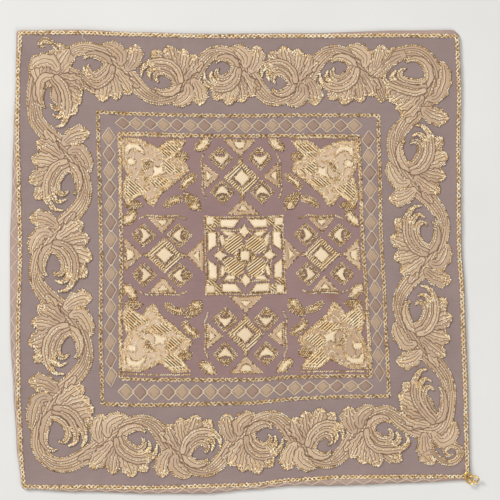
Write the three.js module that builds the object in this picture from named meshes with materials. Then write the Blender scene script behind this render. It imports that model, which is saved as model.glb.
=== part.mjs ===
// A square cushion cover, sewn from a brocade face and a plain back, lying empty and flat with its
// face up. The face is turned round the edge onto the underside, and two small wire links hang
// from one corner. Millimetres, +Z up out of the face, +Y towards the top edge of the face.
import * as THREE from "three";

// The face's design is laid out inside a rectangular chain of couched cord that runs near the edge.
// A place on the face is (s, t): each is -1 to 1 inside that chain, and 1 to 2 (or -1 to -2) from
// the chain out to the turned edge.
const HALF_WIDTH = 220;
const CHAIN_CORNERS = {
  topLeft: new THREE.Vector2(-220, 227),
  topRight: new THREE.Vector2(216, 223.5),
  bottomRight: new THREE.Vector2(226.5, -216),
  bottomLeft: new THREE.Vector2(-216.6, -226.5),
};

// How far each side of the chain bows outwards, and how much cloth shows past it, by the place
// along the side, from -1 at the left or bottom end to 1 at the right or top end.
const TOP_SIDE = [
  { at: -1, bow: 0, margin: 2.6 },
  { at: -0.73, bow: 0.5, margin: 3.2 },
  { at: -0.46, bow: -1, margin: 2.7 },
  { at: -0.18, bow: -2.1, margin: 2.7 },
  { at: 0.29, bow: -1.2, margin: 3.2 },
  { at: 0.78, bow: 0.2, margin: 5.3 },
  { at: 1, bow: 0, margin: 6.4 },
];
const BOTTOM_SIDE = [
  { at: -1, bow: 0, margin: 2.6 },
  { at: -0.75, bow: 1.3, margin: 5.3 },
  { at: -0.39, bow: 3.8, margin: 6.4 },
  { at: -0.18, bow: 3.4, margin: 8 },
  { at: 0.02, bow: 3.2, margin: 5.2 },
  { at: 0.23, bow: -0.9, margin: 6.4 },
  { at: 0.41, bow: -2.3, margin: 8.8 },
  { at: 0.77, bow: -1.2, margin: 6.6 },
  { at: 1, bow: 0, margin: 4 },
];
const LEFT_SIDE = [
  { at: -1, bow: 0, margin: 2.4 },
  { at: -0.8, bow: 2.6, margin: 4.3 },
  { at: -0.59, bow: 4.2, margin: 5.1 },
  { at: -0.34, bow: 4.5, margin: 7.6 },
  { at: 0.05, bow: 1.6, margin: 10.3 },
  { at: 0.37, bow: 2.6, margin: 6.5 },
  { at: 0.58, bow: 3.4, margin: 3.9 },
  { at: 0.8, bow: 2.5, margin: 2.4 },
  { at: 1, bow: 0, margin: 4 },
];
const RIGHT_SIDE = [
  { at: -1, bow: 0, margin: 3.3 },
  { at: -0.61, bow: -0.3, margin: 3.6 },
  { at: -0.17, bow: -1.2, margin: 3.4 },
  { at: 0.05, bow: -2.9, margin: 3.2 },
  { at: 0.45, bow: -1.3, margin: 2.7 },
  { at: 0.77, bow: 0.8, margin: 2.7 },
  { at: 1, bow: 0, margin: 2.7 },
];
const CORNER_RADII = { topLeft: 4, topRight: 9, bottomRight: 4, bottomLeft: 4 };

// The cloth's levels above the surface that the cover lies on.
const BACK_THICKNESS = 1.2;
const FACE_THICKNESS = 1.6;
const GAP = 0.3;
const FACE_TOP = BACK_THICKNESS + GAP + FACE_THICKNESS;
const EDGE_LEVEL = 1.5;
const EDGE_ROLL = 2.6;
const SEAM_SWELL = { high: 0.9, middle: 4.5, wide: 4 };

// The hem: the face passes round the edge and lies under it for this far, beside the back panel.
const HEM_ROUND = 1;
const HEM_WIDTH = 4;
const HEM_STEP = 0.4;
const BACK_INSET = 4.8;
const OUTLINE_TOLERANCE = 0.1;

// Ribs of couched cord: the edge chain, and the two sides of the inner frame's band.
const RIB_HALF_WIDTH = 3;
const RIB_HEIGHT = 0.6;
const RIB_PLACES = [1, 0.642, 0.555];

// Soft folds and hollows in the face: middle, direction, half length, half width and height.
const FOLDS = [
  { x: -150, y: 205, turn: 80, long: 26, wide: 10, high: 1.1 },
  { x: -96, y: 204, turn: 95, long: 24, wide: 9, high: 1.3 },
  { x: -40, y: 203, turn: 86, long: 26, wide: 10, high: 1 },
  { x: 60, y: 206, turn: 92, long: 26, wide: 11, high: 1.1 },
  { x: 140, y: 205, turn: 84, long: 24, wide: 11, high: 1.2 },
  { x: -196, y: 62, turn: 3, long: 26, wide: 9, high: 1.4 },
  { x: -198, y: 8, turn: -4, long: 26, wide: 10, high: 1.2 },
  { x: -196, y: -70, turn: 5, long: 24, wide: 9, high: 1.3 },
  { x: 200, y: 38, turn: 2, long: 24, wide: 10, high: 1.1 },
  { x: 202, y: -46, turn: -4, long: 26, wide: 10, high: 1.4 },
  { x: 60, y: -206, turn: 88, long: 22, wide: 12, high: 1.5 },
  { x: 128, y: -205, turn: 94, long: 22, wide: 12, high: 1.2 },
  { x: -78, y: 44, turn: 52, long: 90, wide: 24, high: 1.6 },
  { x: 88, y: -66, turn: -35, long: 100, wide: 26, high: 1.9 },
  { x: 14, y: 122, turn: 6, long: 130, wide: 20, high: 1 },
  { x: -124, y: -128, turn: -42, long: 70, wide: 22, high: 1.5 },
  { x: 172, y: 124, turn: 60, long: 80, wide: 20, high: 1.3 },
  { x: -20, y: -150, turn: 12, long: 110, wide: 22, high: 1.1 },
];

// The wire links at the bottom right corner: sizes over the wire, the middle, the turn seen from
// above, the lean about the long axis and the dip of the long axis, in degrees.
const WIRE_DIAMETER = 1.7;
const RING = { long: 14.2, wide: 9, x: 227.8, y: -217.5, level: 6, turn: -62, lean: 0, dip: 6 };
const HOOK = { long: 12.1, wide: 9.6, x: 232.6, y: -218.3, level: 5.7, turn: -12, lean: 40, dip: 5 };
const HOOK_WIRE = { start: -70, arc: 330, tail: 4.2, tailTurn: -26 };
const WIRE_SIDES = 8;
const RING_STEPS = 32;
const HOOK_STEPS = 40;

const FACE_COLOUR = 0x9a8a88;
const BACK_COLOUR = 0x8f8583;
const METAL_COLOUR = 0xd9b25a;

const rad = THREE.MathUtils.degToRad;

// The value of a side's table at a place along it, eased from one row to the next.
function along(rows, key, at) {
  const next = Math.max(1, rows.findIndex((row) => row.at >= at));
  const [a, b] = [rows[next - 1], rows[next]];
  const share = THREE.MathUtils.smoothstep(at, a.at, b.at);
  return THREE.MathUtils.lerp(a[key], b[key], share);
}

const inside = (value) => THREE.MathUtils.clamp(value, -1, 1);
const past = (value) => Math.max(0, value - 1);

// The point on the chain's rectangle or inside it, carried in evenly from its four bowed sides.
function insideChain(s, t) {
  const { topLeft, topRight, bottomRight, bottomLeft } = CHAIN_CORNERS;
  const [u, v] = [(s + 1) / 2, (t + 1) / 2];
  const top = topLeft.clone().lerp(topRight, u);
  const bottom = bottomLeft.clone().lerp(bottomRight, u);
  const point = bottom.lerp(top, v);
  point.x += u * along(RIGHT_SIDE, "bow", t) - (1 - u) * along(LEFT_SIDE, "bow", t);
  point.y += v * along(TOP_SIDE, "bow", s) - (1 - v) * along(BOTTOM_SIDE, "bow", s);
  return point;
}

// The cloth's place before its corners are rounded.
function squareCornered(s, t) {
  const [si, ti] = [inside(s), inside(t)];
  const point = insideChain(si, ti);
  point.x += past(s) * along(RIGHT_SIDE, "margin", ti) - past(-s) * along(LEFT_SIDE, "margin", ti);
  point.y += past(t) * along(TOP_SIDE, "margin", si) - past(-t) * along(BOTTOM_SIDE, "margin", si);
  return point;
}

const ROUNDED_CORNERS = [
  { toX: -1, toY: 1, radius: CORNER_RADII.topLeft },
  { toX: 1, toY: 1, radius: CORNER_RADII.topRight },
  { toX: 1, toY: -1, radius: CORNER_RADII.bottomRight },
  { toX: -1, toY: -1, radius: CORNER_RADII.bottomLeft },
].map((corner) => ({ ...corner, point: squareCornered(2 * corner.toX, 2 * corner.toY) }));

// The cloth's place. A square patch in each corner is drawn in to a quarter of a disc.
function place(s, t) {
  const point = squareCornered(s, t);
  for (const { toX, toY, radius, point: corner } of ROUNDED_CORNERS) {
    const centre = new THREE.Vector2(corner.x - toX * radius, corner.y - toY * radius);
    const p = ((point.x - centre.x) * toX) / radius;
    const q = ((point.y - centre.y) * toY) / radius;
    if (p > 0 && q > 0) {
      point.x = centre.x + toX * radius * p * Math.sqrt(Math.max(0, 1 - (q * q) / 2));
      point.y = centre.y + toY * radius * q * Math.sqrt(Math.max(0, 1 - (p * p) / 2));
    }
  }
  return point;
}

// How far in from the cloth's edge a place is.
function inset(s, t) {
  const [si, ti] = [inside(s), inside(t)];
  const from = (value, margin) =>
    value > 1 ? (2 - value) * margin : margin + (1 - value) * HALF_WIDTH;
  return Math.min(
    from(s, along(RIGHT_SIDE, "margin", ti)),
    from(-s, along(LEFT_SIDE, "margin", ti)),
    from(t, along(TOP_SIDE, "margin", si)),
    from(-t, along(BOTTOM_SIDE, "margin", si)),
  );
}

// The place, as s or t, that lies a given distance in from an edge whose margin is known.
function placeAtInset(distance, margin) {
  return distance <= margin ? 2 - distance / margin : 1 - (distance - margin) / HALF_WIDTH;
}

function foldHeight(x, y) {
  return FOLDS.reduce((sum, fold) => {
    const turn = rad(fold.turn);
    const [dx, dy] = [x - fold.x, y - fold.y];
    const lengthwise = (dx * Math.cos(turn) + dy * Math.sin(turn)) / fold.long;
    const crosswise = (dy * Math.cos(turn) - dx * Math.sin(turn)) / fold.wide;
    return sum + fold.high * Math.exp(-lengthwise * lengthwise - crosswise * crosswise);
  }, 0);
}

function ribHeight(s, t) {
  const out = Math.max(Math.abs(s), Math.abs(t));
  return RIB_PLACES.reduce((height, rib) => {
    const away = (Math.abs(out - rib) * HALF_WIDTH) / RIB_HALF_WIDTH;
    return Math.max(height, RIB_HEIGHT * (1 - away));
  }, 0);
}

// The level of the face: it rises over the rolled edge and the seam's layers, then lies in folds.
function faceLevel(s, t) {
  const { x, y } = place(s, t);
  const distance = inset(s, t);
  const roll = Math.sqrt(1 - (1 - Math.min(1, distance / EDGE_ROLL)) ** 2);
  const seam = (distance - SEAM_SWELL.middle) / SEAM_SWELL.wide;
  const swell = SEAM_SWELL.high * Math.exp(-seam * seam) + foldHeight(x, y) + ribHeight(s, t);
  return THREE.MathUtils.lerp(EDGE_LEVEL, FACE_TOP + swell, roll);
}

// The lines of the face's mesh from one edge to the other. On top, the first ones follow the rolled
// edge and the rib on the chain. Underneath, the same ones follow the hem.
const FOOT = RIB_HALF_WIDTH / HALF_WIDTH;
const EDGE_LINES = [
  { top: 2, under: 0 },
  { top: 1.7, under: HEM_ROUND },
  { top: 1.4, under: HEM_WIDTH },
  { top: 1, under: HEM_WIDTH + HEM_STEP },
];
const INNER_LINES = [
  1 - FOOT, 0.95, 0.91, 0.87, 0.82, 0.77, 0.71, 0.642 + FOOT, 0.642, 0.642 - FOOT,
  0.555 + FOOT, 0.555, 0.555 - FOOT, 0.49, 0.42, 0.34, 0.26, 0.17, 0.09,
];

function meshLines() {
  const half = [...EDGE_LINES, ...INNER_LINES.map((top) => ({ top }))];
  const mirrored = half.map(({ top, under }) => ({ top: -top, under, low: true }));
  return [...mirrored, { top: 0 }, ...half.reverse()];
}

// A line's place on the underside, where the hem's lines keep their distance from the edge.
function underPlace(line, margins) {
  if (line.under === undefined) return line.top;
  const away = placeAtInset(line.under, line.low ? margins.low : margins.high);
  return line.low ? -away : away;
}

function facePanel() {
  const lines = meshLines();
  const last = lines.length - 1;
  const points = [];
  const index = { top: [], under: [] };
  lines.forEach((row, j) => {
    const across = {
      low: along(LEFT_SIDE, "margin", inside(row.top)),
      high: along(RIGHT_SIDE, "margin", inside(row.top)),
    };
    lines.forEach((column, i) => {
      const up = {
        low: along(BOTTOM_SIDE, "margin", inside(column.top)),
        high: along(TOP_SIDE, "margin", inside(column.top)),
      };
      const { x, y } = place(column.top, row.top);
      index.top.push(points.length / 3);
      points.push(x, y, faceLevel(column.top, row.top));
      const onEdge = i === 0 || j === 0 || i === last || j === last;
      if (onEdge) {
        index.under.push(index.top.at(-1));
        return;
      }
      const [s, t] = [underPlace(column, across), underPlace(row, up)];
      const under = place(s, t);
      const hem = [column.under, row.under].some((line) => line <= HEM_WIDTH);
      const level = Math.max(BACK_THICKNESS + GAP, faceLevel(s, t) - FACE_THICKNESS);
      index.under.push(points.length / 3);
      points.push(under.x, under.y, hem ? 0 : level);
    });
  });
  const triangles = [];
  const wide = lines.length;
  for (let j = 0; j < last; j += 1) {
    for (let i = 0; i < last; i += 1) {
      const corners = [j * wide + i, j * wide + i + 1, (j + 1) * wide + i + 1, (j + 1) * wide + i];
      const [a, b, c, d] = corners.map((k) => index.top[k]);
      triangles.push(a, b, c, a, c, d);
      const [e, f, g, h] = corners.map((k) => index.under[k]);
      triangles.push(e, g, f, e, h, g);
    }
  }
  const geometry = new THREE.BufferGeometry();
  geometry.setAttribute("position", new THREE.Float32BufferAttribute(points, 3));
  geometry.setIndex(triangles);
  geometry.computeVertexNormals();
  return geometry;
}

// The plain back lies flat inside the hem, following the cover's outline.
function backPanel() {
  const stations = meshLines().map((line) => inside(line.top));
  const places = [...new Set(stations)];
  const margin = (rows, at) => placeAtInset(BACK_INSET, along(rows, "margin", at));
  const outline = [
    ...places.map((s) => [s, -margin(BOTTOM_SIDE, s)]),
    ...places.map((t) => [margin(RIGHT_SIDE, t), t]),
    ...[...places].reverse().map((s) => [s, margin(TOP_SIDE, s)]),
    ...[...places].reverse().map((t) => [-margin(LEFT_SIDE, t), t]),
  ].filter(([s, t]) => inset(s, t) > BACK_INSET - OUTLINE_TOLERANCE);
  const shape = new THREE.Shape(outline.map(([s, t]) => place(s, t)));
  return new THREE.ExtrudeGeometry(shape, { depth: BACK_THICKNESS, bevelEnabled: false });
}

// The middle line of an oval wire link, as a point for each angle, with its long axis along X.
function ovalPoint(link, angle) {
  const long = (link.long - WIRE_DIAMETER) / 2;
  const wide = (link.wide - WIRE_DIAMETER) / 2;
  return new THREE.Vector3(long * Math.cos(angle), wide * Math.sin(angle), 0);
}

// A closed oval ring, lying level: a round ring whose middle line is drawn out to the oval.
function closedRing(link) {
  const round = link.wide / 2;
  const geometry = new THREE.TorusGeometry(round, WIRE_DIAMETER / 2, WIRE_SIDES, RING_STEPS);
  const position = geometry.getAttribute("position");
  for (let k = 0; k < position.count; k += 1) {
    const angle = Math.atan2(position.getY(k), position.getX(k));
    const outwards = Math.hypot(position.getX(k), position.getY(k)) - round;
    const middle = ovalPoint(link, angle);
    const step = 0.01;
    const tangent = ovalPoint(link, angle + step).sub(ovalPoint(link, angle - step)).normalize();
    middle.x += tangent.y * outwards;
    middle.y -= tangent.x * outwards;
    position.setXYZ(k, middle.x, middle.y, position.getZ(k));
  }
  return geometry;
}

// An open link: wire bent nearly all the way round, with its first end left pointing away.
function openLink(link, { start, arc, tail, tailTurn }) {
  const bent = Array.from({ length: HOOK_STEPS / 2 + 1 }, (_, k) =>
    ovalPoint(link, rad(start - (arc * k * 2) / HOOK_STEPS)),
  );
  const away = new THREE.Vector3(Math.cos(rad(tailTurn)), Math.sin(rad(tailTurn)), 0);
  bent.unshift(bent[0].clone().addScaledVector(away, tail));
  const wire = new THREE.Shape().absarc(0, 0, WIRE_DIAMETER / 2, 0, 2 * Math.PI);
  return new THREE.ExtrudeGeometry(wire, {
    steps: HOOK_STEPS,
    curveSegments: WIRE_SIDES,
    bevelEnabled: false,
    extrudePath: new THREE.CatmullRomCurve3(bent),
  });
}

function piece(name, geometry, colour, metalness, roughness) {
  const material = new THREE.MeshStandardMaterial({ color: colour, metalness, roughness });
  const mesh = new THREE.Mesh(geometry, material);
  mesh.name = name;
  return mesh;
}

const cover = new THREE.Group();
cover.add(piece("front_panel", facePanel(), FACE_COLOUR, 0, 0.8));
cover.add(piece("back_panel", backPanel(), BACK_COLOUR, 0, 0.9));

function seat(mesh, link) {
  mesh.position.set(link.x, link.y, link.level);
  mesh.rotation.set(rad(link.lean), rad(link.dip), rad(link.turn), "ZYX");
  return mesh;
}

cover.add(seat(piece("corner_ring", closedRing(RING), METAL_COLOUR, 1, 0.3), RING));
cover.add(seat(piece("hook_link", openLink(HOOK, HOOK_WIRE), METAL_COLOUR, 1, 0.3), HOOK));

// The frame's origin is under the middle of the whole cover, on the surface that it lies on.
const box = new THREE.Box3().setFromObject(cover, true);
const middle = box.getCenter(new THREE.Vector3());
cover.position.set(-middle.x, -middle.y, 0);

export default cover;
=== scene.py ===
"""An empty brocade cushion cover lying flat: scroll border, lozenge frame, tiled centre, wire links.

Run it as a script, or register it as an add-on and press the buttons of its panel in order.
Design places are millimetres on the flat cloth, X to the right and Y up from the middle. They are
carried to the cloth by drape(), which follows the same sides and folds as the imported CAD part.
"""

import math

import bpy
import numpy as np
from mathutils import Euler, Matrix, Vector, geometry


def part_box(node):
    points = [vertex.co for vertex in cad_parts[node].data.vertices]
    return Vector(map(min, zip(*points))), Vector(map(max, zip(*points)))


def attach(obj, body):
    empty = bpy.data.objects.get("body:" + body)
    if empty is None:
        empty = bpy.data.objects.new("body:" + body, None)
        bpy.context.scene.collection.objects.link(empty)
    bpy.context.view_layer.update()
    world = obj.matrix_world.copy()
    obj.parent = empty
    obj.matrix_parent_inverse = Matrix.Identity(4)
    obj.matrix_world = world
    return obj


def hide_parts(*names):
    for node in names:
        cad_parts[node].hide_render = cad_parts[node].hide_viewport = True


bl_info = {
    "name": "Brocade cushion cover",
    "version": (1, 0, 0),
    "blender": (4, 5, 0),
    "location": "View3D > Sidebar > Cover",
    "description": "Builds a flat brocade cushion cover from its packed frame",
    "category": "Object",
}

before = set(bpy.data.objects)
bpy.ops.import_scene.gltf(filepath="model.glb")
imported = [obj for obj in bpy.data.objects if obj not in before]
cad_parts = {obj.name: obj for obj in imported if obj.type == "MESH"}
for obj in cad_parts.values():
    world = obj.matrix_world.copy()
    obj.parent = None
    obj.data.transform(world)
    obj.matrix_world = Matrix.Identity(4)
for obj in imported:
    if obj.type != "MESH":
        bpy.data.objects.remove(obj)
MM = 0.001
SEED = 7

# The cover's sides, as in the CAD part: the chain's corners, and along each side from -1 to 1 how far
# the chain bows outwards and how much cloth shows past it.
HALF_WIDTH = 220.0
HALF_HEIGHT = 224.0
CHAIN_CORNERS = np.array([[(-216.6, -226.5), (226.5, -216.0)], [(-220.0, 227.0), (216.0, 223.5)]])
TOP_SIDE = [(-1, 0, 2.6), (-0.73, 0.5, 3.2), (-0.46, -1, 2.7), (-0.18, -2.1, 2.7), (0.29, -1.2, 3.2),
            (0.78, 0.2, 5.3), (1, 0, 6.4)]
BOTTOM_SIDE = [(-1, 0, 2.6), (-0.75, 1.3, 5.3), (-0.39, 3.8, 6.4), (-0.18, 3.4, 8), (0.02, 3.2, 5.2),
               (0.23, -0.9, 6.4), (0.41, -2.3, 8.8), (0.77, -1.2, 6.6), (1, 0, 4)]
LEFT_SIDE = [(-1, 0, 2.4), (-0.8, 2.6, 4.3), (-0.59, 4.2, 5.1), (-0.34, 4.5, 7.6), (0.05, 1.6, 10.3),
             (0.37, 2.6, 6.5), (0.58, 3.4, 3.9), (0.8, 2.5, 2.4), (1, 0, 4)]
RIGHT_SIDE = [(-1, 0, 3.3), (-0.61, -0.3, 3.6), (-0.17, -1.2, 3.4), (0.05, -2.9, 3.2),
              (0.45, -1.3, 2.7), (0.77, 0.8, 2.7), (1, 0, 2.7)]
ACROSS, UPWARDS = (LEFT_SIDE, RIGHT_SIDE), (BOTTOM_SIDE, TOP_SIDE)
BOW, MARGIN = 1, 2
CORNER_RADII = {(-1, 1): 4.0, (1, 1): 9.0, (1, -1): 4.0, (-1, -1): 4.0}

# The two inner frames' places, and how far each frame's corners lie from where an even cloth has
# them, by row from the bottom and column from the left. The cloth is stretched a little there.
OUTER_FRAME = 0.642
INNER_FRAME = 0.555
OUTER_SHIFTS = np.array([[(3.7, 1.5), (3.6, 1.6)], [(1.6, 2.2), (-1.2, -0.8)]])
INNER_SHIFTS = np.array([[(3.2, 8.0), (5.8, 2.5)], [(3.8, 2.0), (-1.7, -2.2)]])
MIDDLE_SHIFT = (2.0, 1.0)

# The cloth's levels, as in the CAD part, but for its ribs. They are half as high as the solid's 0.6,
# because here the chains are sewn on top of them.
BACK_THICKNESS = 1.2
FACE_THICKNESS = 1.6
GAP = 0.3
FACE_TOP = 3.1
EDGE_LEVEL = 1.5
EDGE_ROLL = 2.6
SEAM_HIGH, SEAM_MIDDLE, SEAM_WIDE = 0.9, 4.5, 4.0
HEM_ROUND = 1.0
HEM_WIDTH = 4.0
HEM_STEP = 0.4
BACK_INSET = 4.8
RIB_HALF_WIDTH = 3.0
RIB_HEIGHT = 0.3

# Soft folds, as in the CAD part: middle x and y, turn in degrees, half length, half width, height.
FOLDS = [
    (-150, 205, 80, 26, 10, 1.1), (-96, 204, 95, 24, 9, 1.3), (-40, 203, 86, 26, 10, 1),
    (60, 206, 92, 26, 11, 1.1), (140, 205, 84, 24, 11, 1.2), (-196, 62, 3, 26, 9, 1.4),
    (-198, 8, -4, 26, 10, 1.2), (-196, -70, 5, 24, 9, 1.3), (200, 38, 2, 24, 10, 1.1),
    (202, -46, -4, 26, 10, 1.4), (60, -206, 88, 22, 12, 1.5), (128, -205, 94, 22, 12, 1.2),
    (-78, 44, 52, 90, 24, 1.6), (88, -66, -35, 100, 26, 1.9), (14, 122, 6, 130, 20, 1),
    (-124, -128, -42, 70, 22, 1.5), (172, 124, 60, 80, 20, 1.3), (-20, -150, 12, 110, 22, 1.1),
]
# Rows of small puckers, too fine for the CAD: first x and y, step to the next, count, turn, half
# length, half width and depth.
PUCKER_ROWS = [
    (-208, 106, 0, -8.5, 18, 4, 7, 1.7, 0.8), (208, 6, 0, -8, 6, -3, 8, 1.8, 0.8),
    (207, 120, 0, -11, 5, 3, 7, 2, 0.5), (-158, 215, 11, 0, 15, 88, 6, 2.2, 0.6),
    (30, 216, 13, 0, 9, 92, 6, 2.4, 0.45), (-150, -215, 14, 0, 10, 90, 6, 2.4, 0.5),
    (60, -209, 12, 0, 10, 88, 6, 2.2, 0.6),
]


def along(rows, column, at):
    """The value of a side's table at places along it, eased from one row to the next."""
    table = np.array(rows, float)
    at = np.clip(at, -1, 1)
    k = np.clip(np.searchsorted(table[:, 0], at), 1, len(table) - 1)
    share = (at - table[k - 1, 0]) / (table[k, 0] - table[k - 1, 0])
    share = share * share * (3 - 2 * share)
    return table[k - 1, column] + (table[k, column] - table[k - 1, column]) * share


def both_sides(sides, column, at):
    """A value at places along two opposite sides."""
    return along(sides[0], column, at), along(sides[1], column, at)


def ease(value, low, high):
    share = np.clip((value - low) / (high - low), 0, 1)
    return share * share * (3 - 2 * share)


def between_corners(corners, u, v):
    """A value spread evenly between its four corners, with u to the right and v up, 0 to 1."""
    u, v = u[:, None], v[:, None]
    low = corners[0][0] * (1 - u) + corners[0][1] * u
    high = corners[1][0] * (1 - u) + corners[1][1] * u
    return low * (1 - v) + high * v


def stretch(s, t):
    """How far the cloth is pulled out of an even lie around the two inner frames."""
    out = np.maximum(np.abs(s), np.abs(t))

    def shift(corners, frame_place):
        u, v = (np.clip(value / frame_place, -1, 1) / 2 + 0.5 for value in (s, t))
        return between_corners(corners, u, v)

    mix = ease(out, INNER_FRAME, OUTER_FRAME)[:, None]
    both = shift(INNER_SHIFTS, INNER_FRAME) * (1 - mix) + shift(OUTER_SHIFTS, OUTER_FRAME) * mix
    both += np.array(MIDDLE_SHIFT) * (1 - ease(out, 0.1, INNER_FRAME))[:, None]
    return both * (1 - ease(out, 0.68, 0.98))[:, None]


def square_cornered(s, t):
    """Where places lie before the cloth's corners are rounded."""
    si, ti = np.clip(s, -1, 1), np.clip(t, -1, 1)
    u, v = (si + 1) / 2, (ti + 1) / 2
    x, y = (between_corners(CHAIN_CORNERS, u, v) + stretch(si, ti)).T

    def bowed(start, share, value, sides, other):
        low, high = both_sides(sides, BOW, other)
        start = start + share * high - (1 - share) * low
        low, high = both_sides(sides, MARGIN, other)
        return start + np.maximum(0, value - 1) * high - np.maximum(0, -value - 1) * low

    return bowed(x, u, s, ACROSS, ti), bowed(y, v, t, UPWARDS, si)


def place(s, t):
    """Where places on the cloth lie. 1 is at the chain and 2 at the cloth's edge."""
    s, t = np.atleast_1d(s).astype(float), np.atleast_1d(t).astype(float)
    x, y = square_cornered(s, t)
    for (to_x, to_y), radius in CORNER_RADII.items():
        corner_x, corner_y = square_cornered(np.array([2.0 * to_x]), np.array([2.0 * to_y]))
        middle_x, middle_y = corner_x - to_x * radius, corner_y - to_y * radius
        p = (x - middle_x) * to_x / radius
        q = (y - middle_y) * to_y / radius
        near = (p > 0) & (q > 0)
        drawn_x = middle_x + to_x * radius * p * np.sqrt(np.clip(1 - q * q / 2, 0, None))
        drawn_y = middle_y + to_y * radius * q * np.sqrt(np.clip(1 - p * p / 2, 0, None))
        x, y = np.where(near, drawn_x, x), np.where(near, drawn_y, y)
    return x, y


def inset(s, t):
    """How far in from the cloth's edge places are."""
    si, ti = np.clip(s, -1, 1), np.clip(t, -1, 1)

    def from_edge(value, margin):
        return np.where(value > 1, (2 - value) * margin, margin + (1 - value) * HALF_WIDTH)

    (left, right), (bottom, top) = both_sides(ACROSS, MARGIN, ti), both_sides(UPWARDS, MARGIN, si)
    return np.minimum.reduce([from_edge(s, right), from_edge(-s, left), from_edge(t, top),
                              from_edge(-t, bottom)])


def place_at_inset(distance, margin):
    """The place, 0 to 2, that lies a distance in from the edge of a side with this margin."""
    return np.where(distance <= margin, 2 - distance / margin, 1 - (distance - margin) / HALF_WIDTH)


def all_folds():
    """The folds, and the puckers as narrow hollows a little out of line."""
    rng = np.random.default_rng(SEED)
    folds = list(FOLDS)
    for x, y, step_x, step_y, count, turn, long, wide, deep in PUCKER_ROWS:
        for k in range(count):
            jitter = rng.uniform(-1, 1, 4)
            folds.append((x + step_x * k + 2 * jitter[0], y + step_y * k + 2 * jitter[1],
                          turn + 9 * jitter[2], long, wide, -deep * (0.7 + 0.4 * jitter[3])))
    return folds


CLOTH_FOLDS = all_folds()


def level(s, t, x, y):
    """The level of the face at places whose lie is known."""
    distance = inset(s, t)
    swell = SEAM_HIGH * np.exp(-(((distance - SEAM_MIDDLE) / SEAM_WIDE) ** 2))
    for fold_x, fold_y, turn, long, wide, high in CLOTH_FOLDS:
        c, d = math.cos(math.radians(turn)), math.sin(math.radians(turn))
        p = ((x - fold_x) * c + (y - fold_y) * d) / long
        q = ((y - fold_y) * c - (x - fold_x) * d) / wide
        swell = swell + high * np.exp(-p * p - q * q)
    out = np.maximum(np.abs(s), np.abs(t))
    for rib in (1, OUTER_FRAME, INNER_FRAME):
        away = np.abs(out - rib) * HALF_WIDTH / RIB_HALF_WIDTH
        swell = swell + RIB_HEIGHT * np.clip(1 - away, 0, None)
    roll = np.sqrt(1 - (1 - np.clip(distance / EDGE_ROLL, 0, 1)) ** 2)
    return EDGE_LEVEL + (FACE_TOP + swell - EDGE_LEVEL) * roll


def cloth_places(points):
    """The places on the cloth of points in the design."""
    x, y = points.T
    s, t = x / HALF_WIDTH, y / HALF_HEIGHT

    def past_chain(share, value, half, sides, other):
        low, high = both_sides(sides, MARGIN, np.clip(other, -1, 1))
        past = np.where(share > 1, 1 + (value - half) / high, share)
        return np.clip(np.where(past < -1, -1 + (value + half) / low, past), -2, 2)

    return past_chain(s, x, HALF_WIDTH, ACROSS, t), past_chain(t, y, HALF_HEIGHT, UPWARDS, s)


def cover_shift():
    """From the CAD part's drawing to the frame, whose origin is under the middle of the cover."""
    run = np.linspace(-2, 2, 401)
    left = place(np.full(run.size, -2.0), run)[0].min()
    bottom = place(run, np.full(run.size, -2.0))[1].min()
    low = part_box("front_panel")[0]
    return low[0] / MM - left, low[1] / MM - bottom


SHIFT_X, SHIFT_Y = cover_shift()


def to_metres(x, y, z):
    return np.column_stack([x + SHIFT_X, y + SHIFT_Y, z]) * MM


def drape(points, lift=0.0):
    """Design points carried to the cloth's upper side, raised by lift."""
    s, t = cloth_places(points)
    x, y = place(s, t)
    return to_metres(x, y, level(s, t, x, y) + lift)


# Curves and outlines in the design.
def run_lengths(curve):
    gaps = np.linalg.norm(np.diff(curve, axis=0), axis=1)
    return np.concatenate([[0.0], np.cumsum(gaps)])


def evenly(curve, step, least=3):
    """The curve again, with evenly spaced points about one step apart."""
    run = run_lengths(curve)
    count = max(least, int(round(run[-1] / step)) + 1)
    at = np.linspace(0, run[-1], count)
    return np.stack([np.interp(at, run, curve[:, k]) for k in range(curve.shape[1])], axis=1)


def spline(points, step=1.0):
    """Evenly spaced places on a smooth curve through the points given."""
    points = np.asarray(points, float)
    ends = np.vstack([2 * points[0] - points[1], points, 2 * points[-1] - points[-2]])
    share = np.linspace(0, 1, 13)[:-1, None]
    pieces = []
    for a, b, c, d in zip(ends, ends[1:], ends[2:], ends[3:]):
        pieces.append(0.5 * (2 * b + (c - a) * share + (2 * a - 5 * b + 4 * c - d) * share**2
                             + (3 * b - a - 3 * c + d) * share**3))
    return evenly(np.vstack(pieces + [points[-1:]]), step)


def headings(curve):
    ahead = np.gradient(curve, axis=0)
    return ahead / np.maximum(np.linalg.norm(ahead, axis=1, keepdims=True), 1e-9)


def sideways(curve):
    ahead = headings(curve)
    return np.stack([-ahead[:, 1], ahead[:, 0]], axis=1)


def closed(polygon):
    return np.vstack([polygon, polygon[:1]])


def turned(points, angle):
    c, d = math.cos(angle), math.sin(angle)
    return np.asarray(points, float) @ np.array([[c, d], [-d, c]])


def holds(polygon, points):
    """Whether each point lies in the polygon."""
    low, high = polygon.min(axis=0), polygon.max(axis=0)
    near = np.all((points > low) & (points < high), axis=1)
    found = np.zeros(len(points), bool)
    if near.any():
        x, y = points[near].T
        x0, y0 = polygon.T
        x1, y1 = np.roll(polygon, -1, axis=0).T
        spans = (y0[:, None] > y) != (y1[:, None] > y)
        rise = np.where(y1 == y0, 1e-9, y1 - y0)[:, None]
        cross = x < x0[:, None] + (y - y0[:, None]) * (x1 - x0)[:, None] / rise
        found[near] = (np.sum(spans & cross, axis=0) % 2).astype(bool)
    return found


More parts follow.
